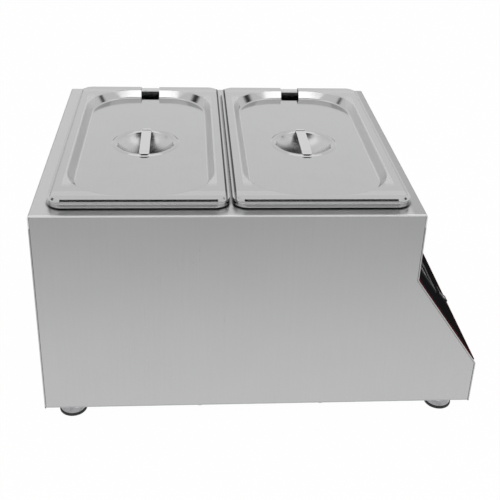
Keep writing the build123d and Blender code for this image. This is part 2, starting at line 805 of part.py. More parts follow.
def button(bx, by):
    """Key cap that stands out of the bezel, held in by a thin flange behind the wall."""
    cap = layer(button_length, button_height, face_level - button_wall, face_level + button_proud, bx, by)
    cap = fillet(cap.edges().group_by(Axis.Z)[-1], button_round)
    flange = layer(button_length + 2 * button_lip, button_height + 2 * button_lip, button_low,
                   face_level - button_wall, bx, by)
    return panel * (cap + flange)


def controller_clips():
    """Side clips that slide along each case and bear on the back of the apron."""
    reach = (case_length + clip_thickness) / 2
    return [panel * layer(clip_thickness, clip_height, -skin - clip_length, -skin, x + side * reach,
                          controller_rise)
            for x in control_x.values() for side in (-1, 1)]


def rocker_frame(x):
    """Rocker switch body with its bezel, the pocket that the key swings in and three terminals."""
    y = -rocker_drop
    outline = RectangleRounded(rocker_bezel_width, rocker_bezel_height, rocker_bezel_corner)
    frame = moved(extrude(outline, rocker_bezel_sheet), x, y, overlay_sheet)
    back = overlay_sheet - rocker_body_depth
    frame += layer(rocker_body_width, rocker_body_height, back, overlay_sheet, x, y)
    pocket = rocker_key_radius + rocker_play
    width = rocker_key_width + 2 * rocker_play
    frame -= layer(width, 2 * pocket, rocker_pivot_z - pocket, face_level + 1, x, y)
    frame -= moved(cross_rod(rocker_pin_radius + pin_play, width + 2 * (rocker_pin_length + pin_end_play)),
                   x, y, rocker_pivot_z)
    for i in (-1, 0, 1):
        frame += layer(tab_width, tab_sheet, back - tab_length, back, x, y + i * rocker_tab_pitch)
    return panel * frame


def rocker_key(x):
    """Rocker key at its off rest: a shallow valley, round ends about the pivot and two stub pins."""
    rise = rocker_key_radius * tan(radians(rocker_throw / 2))
    reach = rocker_key_radius
    valley = make_face(Polyline((-reach, rocker_crown + rise), (0, rocker_crown), (reach, rocker_crown + rise),
                                (reach, -rocker_belly), (-reach, -rocker_belly), close=True))
    key = extrude(Plane.YZ * (valley & Circle(rocker_key_radius)), rocker_key_width / 2, both=True)
    key += cross_rod(rocker_pin_radius, rocker_key_width + 2 * rocker_pin_length)
    return panel * moved(Rot(-rocker_throw / 2, 0, 0) * key, x, -rocker_drop, rocker_pivot_z)


def save(name, shape):
    """Keep one node; a list becomes a group of separate solids."""
    pieces = shape if isinstance(shape, list) else [shape]
    solids = [solid for piece in pieces for solid in piece.solids()]
    nodes[name] = solids[0] if len(solids) == 1 else Compound(children=solids)


def save_casing():
    """The folded sheets, the base and what stands on it."""
    right = cheek()
    save("right_cheek", right)
    save("left_cheek", mirror(right, Plane.YZ))
    save("top_deck", top_deck())
    save("back_panel", back_panel())
    save("front_apron", front_apron())
    save("base_plate", base_plate())
    save("control_overlay", control_overlay())
    save("base_screws", base_screws())
    save("foot_cups", each_foot(foot_cup()))
    save("foot_rings", each_foot(foot_ring()))
    save("foot_screws", each_foot(foot_screw()))
    save("foot_nuts", each_foot(moved(nut(foot_nut_across, foot_nut_thickness, foot_screw_radius), z=base_top)))
    save("terminal_block", terminal_block())
    save("terminal_screws", terminal_screws())
    save("earth_stud", earth_stud())
    save("earth_nuts", earth_nuts())
    save("cord_gland", cord_gland())
    save("gland_nut", gland_nut())


def save_pan_sets():
    """The well, heater pieces, pan and lid at each pan place."""
    makers = {
        "well": well, "heater_mat": heater_mat, "press_plate": press_plate, "thermal_cutout": thermal_cutout,
        "probe": probe, "probe_saddle": probe_saddle, "blanket": blanket, "pan": pan, "lid": lid,
        "lid_handle": lid_handle,
    }
    for kind, maker in makers.items():
        shape = maker()
        for place, y in pan_y.items():
            save(f"{place}_{kind}", moved(shape, y=y))
    save("stud_nuts", [piece for y in pan_y.values() for piece in stud_nuts(y)])


def save_controls():
    """The thermostats and rocker switches on the sloped face."""
    save("controller_clips", controller_clips())
    for side, x in control_x.items():
        save(f"{side}_controller", controller_case(x))
        save(f"{side}_window", display_window(x))
        for number, (bx, by) in enumerate(button_places(x), 1):
            save(f"{side}_button_{number}", button(bx, by))
        save(f"{side}_rocker_frame", rocker_frame(x))
        save(f"{side}_rocker_key", rocker_key(x))


save_casing()
save_pan_sets()
save_controls()
os.makedirs("parts", exist_ok=True)
for name, shape in nodes.items():
    export_step(shape, f"parts/{name}.step")
print(len(nodes), "nodes")
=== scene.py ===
"""Looks of the chocolate melter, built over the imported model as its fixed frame.

Lengths in the classes are millimetres, as on the drawing, and turn into metres where a mesh is made.
X runs along the pans, -Y is the sloped control panel and +Z is up.
"""
import logging
import math
from dataclasses import dataclass, field
from enum import Enum
from functools import lru_cache
from typing import Any, Callable, Optional, Sequence, Union

import bpy
import numpy as np
from mathutils import Matrix


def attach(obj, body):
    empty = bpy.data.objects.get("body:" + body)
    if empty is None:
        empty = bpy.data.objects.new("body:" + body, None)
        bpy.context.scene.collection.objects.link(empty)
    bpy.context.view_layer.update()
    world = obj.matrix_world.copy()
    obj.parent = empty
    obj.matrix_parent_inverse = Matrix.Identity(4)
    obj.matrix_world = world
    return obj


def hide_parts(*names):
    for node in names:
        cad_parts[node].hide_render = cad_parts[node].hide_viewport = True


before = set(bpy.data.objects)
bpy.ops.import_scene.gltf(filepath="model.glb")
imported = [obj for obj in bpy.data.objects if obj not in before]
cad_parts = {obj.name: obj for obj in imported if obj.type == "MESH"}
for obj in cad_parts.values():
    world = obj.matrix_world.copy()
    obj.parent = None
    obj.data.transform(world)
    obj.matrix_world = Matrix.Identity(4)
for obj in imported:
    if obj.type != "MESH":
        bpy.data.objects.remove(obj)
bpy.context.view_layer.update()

MM = 0.001
LOG = logging.getLogger("melter")
Array = np.ndarray
Thing = bpy.types.Object
Material = bpy.types.Material
Number = Union[int, float]
Colour = tuple[float, float, float]
Span = tuple[float, float]
Shape = tuple[Array, Union[Array, list]]  # points, and faces as rows of point numbers
WHITE = (1.0, 1.0, 1.0, 1.0)

# Places and sizes that several pieces share, in millimetres
DECK = 251.0
RIM = 257.2
PLATEAU = 259.9
RECESS = 250.4
DISH = 236.4
PAN_PLACES = {"rear": 125.0, "front": -54.0}
PAN_MIDDLE = (PAN_PLACES["rear"] + PAN_PLACES["front"]) / 2
PAN_HALF_PITCH = (PAN_PLACES["rear"] - PAN_PLACES["front"]) / 2
PAN_HALF_LENGTH = 162.5
PAN_HALF_WIDTH = 88.0
PAN_CORNER = 15.0
PANEL_ORIGIN = np.array([0.0, -191.0, 124.0])
PANEL_UP = np.array([0.0, 0.57976, 0.81479])
PANEL_OUT = np.array([0.0, -0.81479, 0.57976])
CONTROL_PLACES = {"left": -84.0, "right": 84.0}
SIGN_LEVELS = (-0.05, 0.06)  # lower and upper level of a printed sign, over its key
WELD_REACH = 0.008  # packed points nearer than this are one
FINE_ARC = 9.0  # degrees between two points of a finely rounded corner


class Grain(Enum):
    """Which way a sheet was rubbed; the numbers are how fast its pattern changes along x, y and z."""

    UPRIGHT = (900.0, 900.0, 14.0)
    ALONG_PANS = (14.0, 900.0, 900.0)
    ACROSS_PANS = (900.0, 14.0, 900.0)


# Shader sums


def math_method(operation: str, swapped: bool = False) -> Callable[..., "Field"]:
    """Makes a method that adds one Math node.

    Args:
        operation: the Math node's operation.
        swapped: True where the other value comes first.

    Returns:
        The method, which takes the other value where the operation has one.
    """
    def method(self: "Field", *other: Any) -> "Field":
        """The sum as a new field."""
        values = (*other, self) if swapped else (self, *other)
        return self.recipe.node("ShaderNodeMath", {"operation": operation}, dict(enumerate(values)))

    return method


class Field:
    """A value, colour or vector that a material works out, which takes part in plain Python sums."""

    __add__, __radd__ = math_method("ADD"), math_method("ADD", True)
    __sub__, __rsub__ = math_method("SUBTRACT"), math_method("SUBTRACT", True)
    __mul__, __rmul__ = math_method("MULTIPLY"), math_method("MULTIPLY", True)
    __abs__ = math_method("ABSOLUTE")
    root, sine = math_method("SQRT"), math_method("SINE")
    least, most = math_method("MINIMUM"), math_method("MAXIMUM")

    def __init__(self, recipe: "Recipe", socket: bpy.types.NodeSocket) -> None:
        """Wraps one output socket of a recipe's node."""
        self.recipe = recipe
        self.socket = socket

    def other(self, output: Union[int, str]) -> "Field":
        """Another output of the same node."""
        return Field(self.recipe, self.socket.node.outputs[output])

    def band(self, low: Number, high: Number) -> "Field":
        """A smooth rise from 0 at the low value to 1 at the high one."""
        return self.recipe.node("ShaderNodeMapRange", {"interpolation_type": "SMOOTHSTEP", "clamp": True},
                                {0: self, 1: low, 2: high, 3: 0.0, 4: 1.0})

    def fall(self, low: Number, high: Number) -> "Field":
        """A smooth fall from 1 at the low value to 0 at the high one."""
        return 1.0 - self.band(low, high)

    def within(self, first: Span, last: Span) -> "Field":
        """1 between a smooth rise over the first pair and a smooth fall over the last one."""
        return self.band(*first) * self.fall(*last)


def spread(middle: float, *patterns: tuple[Field, float]) -> Field:
    """A value that swings about its middle, with each pattern from 0 to 1 and its reach."""
    return sum(((pattern - 0.5) * reach for pattern, reach in patterns), middle)


def slant(first: Field, second: Field) -> Field:
    """The long side of a right angle between two legs."""
    return (first * first + second * second).root()


def past_corner(past_x: Field, past_y: Field) -> Field:
    """Distance from a square corner: the long side over what is positive of the two numbers."""
    return slant(past_x.most(0.0), past_y.most(0.0))


def from_pan_line(y: Field) -> Field:
    """Distance from the long middle line of the nearer pan, in millimetres."""
    return abs(abs(y - PAN_MIDDLE) - PAN_HALF_PITCH)


class Recipe:
    """One node tree while its nodes are put together."""

    def __init__(self, name: str, owner: Any = None) -> None:
        """Starts an empty tree.

        Args:
            name: name of the new material.
            owner: the world, where the tree isn't a material's.
        """
        self.material = owner or bpy.data.materials.new(name)
        self.material.use_nodes = True
        self.tree = self.material.node_tree
        self.tree.nodes.clear()

    def node(self, kind: str, settings: Optional[dict] = None, inputs: Optional[dict] = None,
             output: Union[int, str] = 0) -> Field:
        """Adds any node.

        Args:
            kind: the node's type.
            settings: its settings, set before its sockets.
            inputs: values or fields for its sockets, by name or number.
            output: the output that is wanted.

        Returns:
            The wanted output as a field.
        """
        made = self.tree.nodes.new(kind)
        for key, value in (settings or {}).items():
            setattr(made, key, value)
        for key, value in (inputs or {}).items():
            if isinstance(value, Field):
                self.tree.links.new(value.socket, made.inputs[key])
            else:
                made.inputs[key].default_value = value
        return Field(self, made.outputs[output])

    def place(self) -> Field:
        """Object coordinates, in metres."""
        return self.node("ShaderNodeTexCoord", output="Object")

    def axes(self, scale: float = 1.0) -> tuple[Field, ...]:
        """The three numbers of the place, in metres times the scale."""
        x = self.node("ShaderNodeSeparateXYZ", None, {0: self.place()})
        return tuple(axis * scale for axis in (x, x.other(1), x.other(2)))

    def drawing(self) -> tuple[Field, ...]:
        """The three numbers of the place as on the drawing, in millimetres."""
        return self.axes(1.0 / MM)

    def stretched(self, scale: Sequence[float], turn: Sequence[float] = (0, 0, 0)) -> Field:
        """The place with each axis scaled, and turned where that is given."""
        return self.node("ShaderNodeMapping", {"vector_type": "POINT"},
                         {"Vector": self.place(), "Scale": tuple(scale), "Rotation": tuple(turn)})

    def noise(self, vector: Field, scale: float = 1.0, detail: float = 3.0, rough: float = 0.55,
              twist: float = 0.0) -> Field:
        """A cloudy pattern from 0 to 1."""
        return self.node("ShaderNodeTexNoise", {"noise_dimensions": "3D"},
                         {"Vector": vector, "Scale": scale, "Detail": detail, "Roughness": rough,
                          "Distortion": twist})

    def cells(self, scale: float) -> Field:
        """A colour that changes from cell to cell."""
        return self.node("ShaderNodeTexVoronoi", {"feature": "F1"},
                         {"Vector": self.place(), "Scale": scale}, "Color")

    def tint(self, share: Any, first: Any, second: Any) -> Field:
        """A blend of two colours; one number stands for a grey."""
        first, second = (c if isinstance(c, Field) else (*([c] * 3 if isinstance(c, float) else c), 1.0)
                         for c in (first, second))
        return self.node("ShaderNodeMix", {"data_type": "RGBA"}, {0: share, 6: first, 7: second}, 2)

    def relief(self, height: Field, strength: float, depth: float) -> Field:
        """A bumped normal from a height pattern; the depth is in metres."""
        return self.node("ShaderNodeBump", None, {"Height": height, "Strength": strength, "Distance": depth},
                         "Normal")

    def close(self, shader: Field, kind: str = "ShaderNodeOutputMaterial") -> bpy.types.ID:
        """Links a shader to the tree's output and gives the material or world."""
        output = self.tree.nodes.new(kind)
        self.tree.links.new(shader.socket, output.inputs["Surface"])
        return self.material


# Finishes


class Finish:
    """A kind of surface; each kind says what the sockets of its Principled shader get."""

    tone: Colour

    def shades(self, spread: float) -> list[Colour]:
        """The tone made darker and brighter by a share."""
        return [tuple(v * k for v in self.tone) for k in (1.0 - spread, 1.0 + spread)]

    def tinted(self, r: Recipe, base: Field) -> Field:
        """The base colour as it is; a kind of surface may darken or brighten places."""
        return base

    def sockets(self, r: Recipe) -> dict[str, Any]:
        """Values and fields of the shader, by socket."""
        raise NotImplementedError

    def build(self, name: str) -> Material:
        """The material under that name."""
        r = Recipe(name)
        sockets = self.sockets(r)
        sockets["Base Color"] = self.tinted(r, sockets["Base Color"])
        return r.close(r.node("ShaderNodeBsdfPrincipled", None, sockets, "BSDF"))


@dataclass(frozen=True)
class SteelFinish(Finish):
    """Stainless sheet: rubbing marks along one direction, handling clouds and a faint relief."""

    tone: Colour
    roughness: float
    grain: Grain
    streak: float = 0.10  # how far the marks change the roughness
    cloud: float = 0.04
    relief: float = 0.05
    wave: float = 0.0  # slow waviness of a pressing

    def sockets(self, r: Recipe) -> dict[str, Any]:
        """Marks, clouds and smears in tone, roughness and relief."""
        marks = r.noise(r.stretched(self.grain.value), 1.0, 4.0, 0.62)
        fine = r.noise(r.stretched([2.7 * v for v in self.grain.value]), 1.0, 3.0, 0.7)
        clouds = r.noise(r.place(), 11.0, 3.0, 0.5)
        smears = r.noise(r.stretched((5.0, 7.0, 5.0)), 1.0, 2.0, 0.5, 0.6)
        rough = spread(self.roughness, (marks, self.streak), (clouds, self.cloud), (smears, 0.6 * self.cloud))
        height = marks * 0.6 + fine * 0.4 + smears * self.wave
        return {
            "Base Color": r.tint(marks * 0.55 + clouds * 0.45, *self.shades(0.07)),
            "Roughness": rough.most(0.04), "Metallic": 1.0, "Normal": r.relief(height, self.relief, 0.0002),
        }


@dataclass(frozen=True)
class PressedFinish(Finish):
    """Bright pressed steel: slow waves of the drawing, wipe marks and a little haze."""

    tone: Colour
    roughness: float
    wave: float = 0.10
    haze: float = 0.08
    drawn_rough: float = 0.34  # roughness that full drawing adds
    drawn_tone: float = 1.24  # how much paler full drawing is

    def drawn(self, r: Recipe) -> Any:
        """How much a place was stretched dull by the drawing, from 0 to 1."""
        return 0.0

    def sockets(self, r: Recipe) -> dict[str, Any]:
        """Waves, wipes and haze, and the drawing's dull places."""
        drawn = self.drawn(r)
        waves = r.noise(r.stretched((16.0, 22.0, 16.0)), 1.0, 2.0, 0.4, 0.4)
        wipes = r.noise(r.stretched((30.0, 420.0, 60.0), (0.0, 0.0, 0.35)), 1.0, 3.0, 0.6)
        haze = r.noise(r.place(), 24.0, 4.0, 0.6)
        fine = r.noise(r.place(), 1500.0, 2.0, 0.6)
        rough = spread(self.roughness, (haze, self.haze), (wipes, 0.7 * self.haze)) + drawn * self.drawn_rough
        bright = r.tint(haze * 0.6 + wipes * 0.4, *self.shades(0.05))
        height = waves + wipes * 0.02 + fine * 0.004
        return {
            "Base Color": r.tint(drawn, bright, tuple(self.drawn_tone * v for v in self.tone)),
            "Roughness": rough.most(0.03), "Metallic": 1.0, "Normal": r.relief(height, self.wave, 0.0006),
        }


@dataclass(frozen=True)
class LidFinish(PressedFinish):
    """Bright pressed steel of the lids, duller in the dish and on the walls of the recess.

    Each pair is where a smooth change starts and ends, in millimetres.
    """

    long_wall: tuple[Span, Span] = ((66.5, 68.5), (75.5, 77.5))  # from the pan's long middle line
    long_wall_end: Span = (118.0, 132.0)
    end_wall: tuple[Span, Span] = ((139.5, 141.5), (149.5, 151.0))
    end_share: float = 0.38
    bowl: Span = (29.0, 31.5)
    bowl_mouth: Span = (250.0, 250.8)
    bowl_share: float = 0.45
    strap_level: tuple[Span, Span] = ((251.3, 251.6), (255.0, 255.5))
    strap_end: Span = (40.0, 45.0)
    strap_side: Span = (6.0, 7.0)
    # painted sheen: the straps get a paler colour that stands in for the light they reflect
    strap_sheen_tone: Colour = (0.60, 0.60, 0.602)
    # painted shade: the steps between the two lids are darkened in colour where shade falls in the narrow gap
    step: tuple[Span, Span] = ((3.0, 3.6), (5.0, 5.6))  # from the line between the lids
    step_shade_share: float = 0.75
    step_shade_tone: float = 0.05

    def drawn(self, r: Recipe) -> Field:
        """1 on the long walls of either lid's recess, and less in the dish and on the end walls."""
        x, y, z = r.drawing()
        across = from_pan_line(y)
        wall = across.within(*self.long_wall) * abs(x).fall(*self.long_wall_end)
        dish = slant(x, across).fall(*self.bowl) * z.fall(*self.bowl_mouth)
        end = abs(x).within(*self.end_wall)
        return (wall + dish * self.bowl_share + end * self.end_share).least(1.0)

    def tinted(self, r: Recipe, base: Field) -> Field:
        """The base colour, with painted shade on the steps that face each other between the lids, and a
        painted sheen making the straps paler.
        """
        x, y, z = r.drawing()
        strap = z.within(*self.strap_level) * abs(x).fall(*self.strap_end)
        base = r.tint(strap * from_pan_line(y).fall(*self.strap_side), base, self.strap_sheen_tone)
        step = abs(y - PAN_MIDDLE).within(*self.step)
        return r.tint(step * self.step_shade_share, base, self.step_shade_tone)


@dataclass(frozen=True)
class DeckFinish(SteelFinish):
    """Brushed sheet of the deck; each pair is where a smooth change starts and ends, in millimetres."""

    # painted shade: the deck's colour is darkened round each pan rim, standing in for contact shadow
    seam: Span = (0.0, 2.6)  # out from a rim
    rim_shade_share: float = 0.75
    rim_shade_tone: float = 0.03
    # painted shade: the deck's colour is darkened along the strip toward the controls
    front: Span = (138.0, 143.0)  # toward the controls
    front_shade_share: float = 0.34
    front_shade_tone: float = 0.10
    # painted highlight: the deck's colour is made bright along the sheet's cut ends
    edge: Span = (173.6, 174.3)  # the cut ends of the sheet
    end_highlight_tone: float = 0.92

    def tinted(self, r: Recipe, base: Field) -> Field:
        """The base colour, with painted shade round each rim and along the front fold, and a painted
        highlight at the ends.

        Formula: the distance from a rim's rounded outline is the distance from the square corner of its
        straight part, less the corner's radius.
        """
        x, y, _ = r.drawing()
        past_x = abs(x) - (PAN_HALF_LENGTH - PAN_CORNER)
        past_y = from_pan_line(y) - (PAN_HALF_WIDTH - PAN_CORNER)
        away = past_corner(past_x, past_y) - PAN_CORNER
        base = r.tint(away.fall(*self.seam) * self.rim_shade_share, base, self.rim_shade_tone)
        base = r.tint((0.0 - y).band(*self.front) * self.front_shade_share, base, self.front_shade_tone)
        return r.tint(abs(x).band(*self.edge), base, self.end_highlight_tone)


@dataclass(frozen=True)
class CasingFinish(SteelFinish):
    """Brushed sheet of the casing, with painted shade along its lower hem."""

    # painted shade: the casing's colour is darkened where its sheet bends under at the bottom
    hem: Span = (22.2, 23.6)
    hem_shade_share: float = 0.85
    hem_shade_tone: float = 0.08

    def tinted(self, r: Recipe, base: Field) -> Field:
        """The base colour, with painted shade on the last millimetres over the lower edge."""
        return r.tint(r.drawing()[2].fall(*self.hem) * self.hem_shade_share, base, self.hem_shade_tone)


@dataclass(frozen=True)
class PlatedFinish(Finish):
    """Plated metal: crystal patches, dull spots and fine pits."""

    tone: Colour
    stain: Colour
    roughness: float
    patch: float  # patches per metre

    def sockets(self, r: Recipe) -> dict[str, Any]:
        """Patches and clouds in tone and roughness, and pits in the relief."""
        patches = r.noise(r.cells(self.patch), 3.0, 0.0)
        clouds = r.noise(r.place(), 0.35 * self.patch, 4.0, 0.6)
        pits = r.noise(r.place(), 9.0 * self.patch, 2.0, 0.6)
        share = (patches * 0.5 + clouds * 0.5).band(0.3, 0.75)
        rough = spread(self.roughness, (patches, 0.18), (clouds, 0.1))
        return {
            "Base Color": r.tint(share, self.tone, self.stain), "Roughness": rough.most(0.05),
            "Metallic": 1.0, "Normal": r.relief(pits + clouds * 0.5, 0.12, 0.0002),
        }


@dataclass(frozen=True)
class MouldedFinish(Finish):
    """Moulded plastic or rubber: a fine spark-eroded grain, flow clouds and a dusting of lint."""

    tone: Colour
    roughness: float
    grain: float = 1400.0  # grains per metre
    relief: float = 0.12
    dust: float = 0.03
    shine: float = 0.5  # 0.5 is plain plastic

    def sockets(self, r: Recipe) -> dict[str, Any]:
        """Grain in the relief, flow in the tone and lint over it."""
        grains = r.noise(r.place(), self.grain, 2.0, 0.6)
        flow = r.noise(r.stretched((18.0, 30.0, 24.0)), 1.0, 3.0, 0.5, 0.8)
        lint = r.noise(r.place(), 0.4 * self.grain, 5.0, 0.7).band(0.62, 0.80)
        dusty = tuple(min(v + self.dust, 1.0) for v in self.tone)
        rough = spread(self.roughness, (grains, 0.12), (flow, 0.08))
        return {
            "Base Color": r.tint(lint * 0.5, r.tint(flow, *self.shades(0.14)), dusty),
            "Roughness": rough.most(0.05), "Specular IOR Level": self.shine,
            "Normal": r.relief(grains + flow * 0.3, self.relief, 0.0002),
        }


@dataclass(frozen=True)
class OverlayFinish(Finish):
    """Black front film: fine texture, and one thin red line that follows its edge; lengths in millimetres."""

    half_length: float = 174.7
    half_height: float = 60.32
    corner: float = 3.0
    inset: float = 1.8
    line: float = 0.8
    line_blur: float = 0.15
    line_tone: Colour = (0.62, 0.025, 0.02)
    blacks: tuple[Colour, Colour] = ((0.006, 0.006, 0.007), (0.013, 0.013, 0.014))

    def edge_distance(self, r: Recipe) -> Field:
        """Distance from the film's edge, negative inside.

        Formula: the place is taken across and up the slope; outside, it is the distance from the square
        corner of the straight part, and inside, the larger of the two numbers; either less the radius.
        """
        x, y, z = r.drawing()
        origin, slope = PANEL_ORIGIN.tolist(), PANEL_UP.tolist()
        up = (y - origin[1]) * slope[1] + (z - origin[2]) * slope[2]
        past_x = abs(x) - (self.half_length - self.corner)
        past_up = abs(up) - (self.half_height - self.corner)
        return past_corner(past_x, past_up) + past_x.most(past_up).least(0.0) - self.corner

    def sockets(self, r: Recipe) -> dict[str, Any]:
        """The black with its line, and faint wipe marks."""
        away = abs(self.edge_distance(r) + self.inset)
        line = away.fall(0.5 * self.line - self.line_blur, 0.5 * self.line + self.line_blur)
        grains = r.noise(r.place(), 2600.0, 2.0, 0.6)
        wipes = r.noise(r.stretched((9.0, 60.0, 60.0)), 1.0, 3.0, 0.6)
        return {
            "Base Color": r.tint(line, r.tint(wipes, *self.blacks), self.line_tone),
            "Roughness": spread(0.34, (wipes, 0.10), (grains, 0.10)),
            "Specular IOR Level": 0.0, "Normal": r.relief(grains, 0.06, 0.0001),
        }


@dataclass(frozen=True)
class LensFinish(Finish):
    """Clear tinted plastic: polished, with a deep tone and faint scratches."""

    tone: Colour
    roughness: float
    shine: float

    def sockets(self, r: Recipe) -> dict[str, Any]:
        """Depth in the tone, scratches in roughness and relief."""
        depth = r.noise(r.place(), 45.0, 2.0, 0.5)
        scratches = r.noise(r.stretched((80.0, 1800.0, 900.0), (0.0, 0.0, 0.5)), 1.0, 2.0, 0.6)
        rough = spread(self.roughness, (scratches, 0.06))
        return {
            "Base Color": r.tint(depth, *self.shades(0.2)), "Roughness": rough.most(0.02),
            "Specular IOR Level": self.shine, "Normal": r.relief(scratches, 0.02, 0.0001),
        }


@dataclass(frozen=True)
class FibreFinish(Finish):
    """Woven or matted fibre: crossed threads or loose wool over a rough ground."""

    tone: Colour
    shade: Colour
    threads: float  # threads per metre
    loose: float  # 0 for a tidy weave, 1 for wool
    relief: float

    def sockets(self, r: Recipe) -> dict[str, Any]:
        """Weave and wool in the relief, patches in the tone."""
        x, y, _ = r.axes(2.0 * math.pi * self.threads)
        weave = x.sine() * y.sine() * 0.5 + 0.5
        wool = r.noise(r.stretched((1.0, 1.0, 2.5)), 0.45 * self.threads, 6.0, 0.75, 1.6)
        height = weave * (1.0 - self.loose) + wool * self.loose
        patches = r.noise(r.place(), 14.0, 3.0, 0.5)
        return {
            "Base Color": r.tint((height * 0.6 + patches * 0.4).band(0.2, 0.8), self.shade, self.tone),
            "Roughness": 0.72 + height * 0.15, "Normal": r.relief(height, self.relief, 0.0006),
        }


@dataclass(frozen=True)
class GlazedFinish(Finish):
    """Glazed ceramic: pale body with specks, under an uneven shine."""

    tone: Colour

    def sockets(self, r: Recipe) -> dict[str, Any]:
        """Specks in the tone, the glaze's unevenness in roughness and relief."""
        specks = r.noise(r.place(), 900.0, 3.0, 0.6).band(0.66, 0.74)
        glaze = r.noise(r.place(), 120.0, 3.0, 0.5)
        return {
            "Base Color": r.tint(specks, self.tone, tuple(0.55 * v for v in self.tone)),
            "Roughness": 0.22 + glaze * 0.15, "Coat Weight": 0.4, "Normal": r.relief(glaze, 0.12, 0.0004),
        }


RECIPES: dict[str, Finish] = {
    "brushed_casing": CasingFinish((0.50, 0.50, 0.502), 0.30, Grain.UPRIGHT, 0.10, 0.05, 0.05),
    "deck_steel": DeckFinish((0.52, 0.52, 0.522), 0.29, Grain.ACROSS_PANS, 0.10, 0.05, 0.04),
    "lid_steel": LidFinish((0.465, 0.465, 0.467), 0.11, 0.10, 0.06),
    "pan_steel": PressedFinish((0.55, 0.55, 0.55), 0.17),
    "well_steel": SteelFinish((0.42, 0.42, 0.41), 0.42, Grain.UPRIGHT, 0.14, 0.10, 0.12, 0.4),
    "panel_black": OverlayFinish(),
    "black_plastic": MouldedFinish((0.020, 0.020, 0.021), 0.50, shine=0.06),
    "button_grey": MouldedFinish((0.060, 0.062, 0.066), 0.55, 1100.0, 0.10, shine=0.15),
    "rocker_black": MouldedFinish((0.018, 0.018, 0.019), 0.34, 1200.0, 0.05, 0.02, 0.10),
    "window_tint": LensFinish((0.020, 0.003, 0.003), 0.12, 0.10),
    "foot_metal": PlatedFinish((0.36, 0.36, 0.37), (0.27, 0.27, 0.28), 0.24, 260.0),
    "foot_rubber": MouldedFinish((0.016, 0.016, 0.017), 0.72, 900.0, 0.30, 0.05),
    "zinc": PlatedFinish((0.58, 0.58, 0.56), (0.46, 0.46, 0.45), 0.32, 420.0),
    "base_steel": PlatedFinish((0.52, 0.53, 0.54), (0.40, 0.41, 0.42), 0.36, 90.0),
    "mat_silicone": FibreFinish((0.50, 0.16, 0.07), (0.34, 0.09, 0.04), 700.0, 0.15, 0.35),
    "press_aluminium": SteelFinish((0.62, 0.62, 0.63), 0.34, Grain.ALONG_PANS, 0.16, 0.08, 0.08),
    "wool": FibreFinish((0.74, 0.72, 0.64), (0.52, 0.49, 0.40), 320.0, 1.0, 0.9),
    "ceramic": GlazedFinish((0.80, 0.77, 0.69)),
    "brass": PlatedFinish((0.74, 0.52, 0.22), (0.55, 0.36, 0.15), 0.28, 500.0),
    "clip_orange": MouldedFinish((0.68, 0.20, 0.035), 0.50, 1000.0, 0.12),
    "display_unlit": LensFinish((0.085, 0.022, 0.020), 0.40, 0.05),
    "mark_white": MouldedFinish((0.78, 0.78, 0.76), 0.55, 1800.0, 0.05),
}


@lru_cache(None)
def finish(slot: str) -> Material:
    """The material of one slot, built when a piece first asks for it."""
    return RECIPES[slot].build(slot)


# Surfaces


def rounded_profile(corners: Sequence[Sequence[float]], radii: Sequence[float], step: float = 13.0) -> Array:
    """A bent line with its inner corners rounded.

    Formula: the arc at a corner has its middle on the line that halves the angle, as far out as the
    radius over the sine of the half angle. Its points are the middle plus the radius times the
    direction that turns evenly from one tangent point to the other.

    Args:
        corners: the line's corners, as pairs of numbers.
        radii: one radius for each inner corner.
        step: degrees of turn between two points of an arc.

    Returns:
        The points, one pair to a row.
    """
    line = np.asarray(corners, float)
    parts = [line[:1]]
    for before, corner, after, radius in zip(line, line[1:], line[2:], radii):
        back, ahead = before - corner, after - corner
        back, ahead = back / np.linalg.norm(back), ahead / np.linalg.norm(ahead)
        half = math.acos(float(np.clip(back @ ahead, -1, 1))) / 2
        middle = corner + (back + ahead) / np.linalg.norm(back + ahead) * radius / math.sin(half)
        first = corner + back * radius / math.tan(half) - middle
        last = corner + ahead * radius / math.tan(half) - middle
        sweep = math.pi - 2 * half
        count = max(2, int(math.ceil(math.degrees(sweep) / step)) + 1)
        t = np.linspace(0.0, 1.0, count)[:, None]
        parts.append(middle + (np.sin((1 - t) * sweep) * first + np.sin(t * sweep) * last) / math.sin(sweep))
    parts.append(line[-1:])
    return np.concatenate(parts)


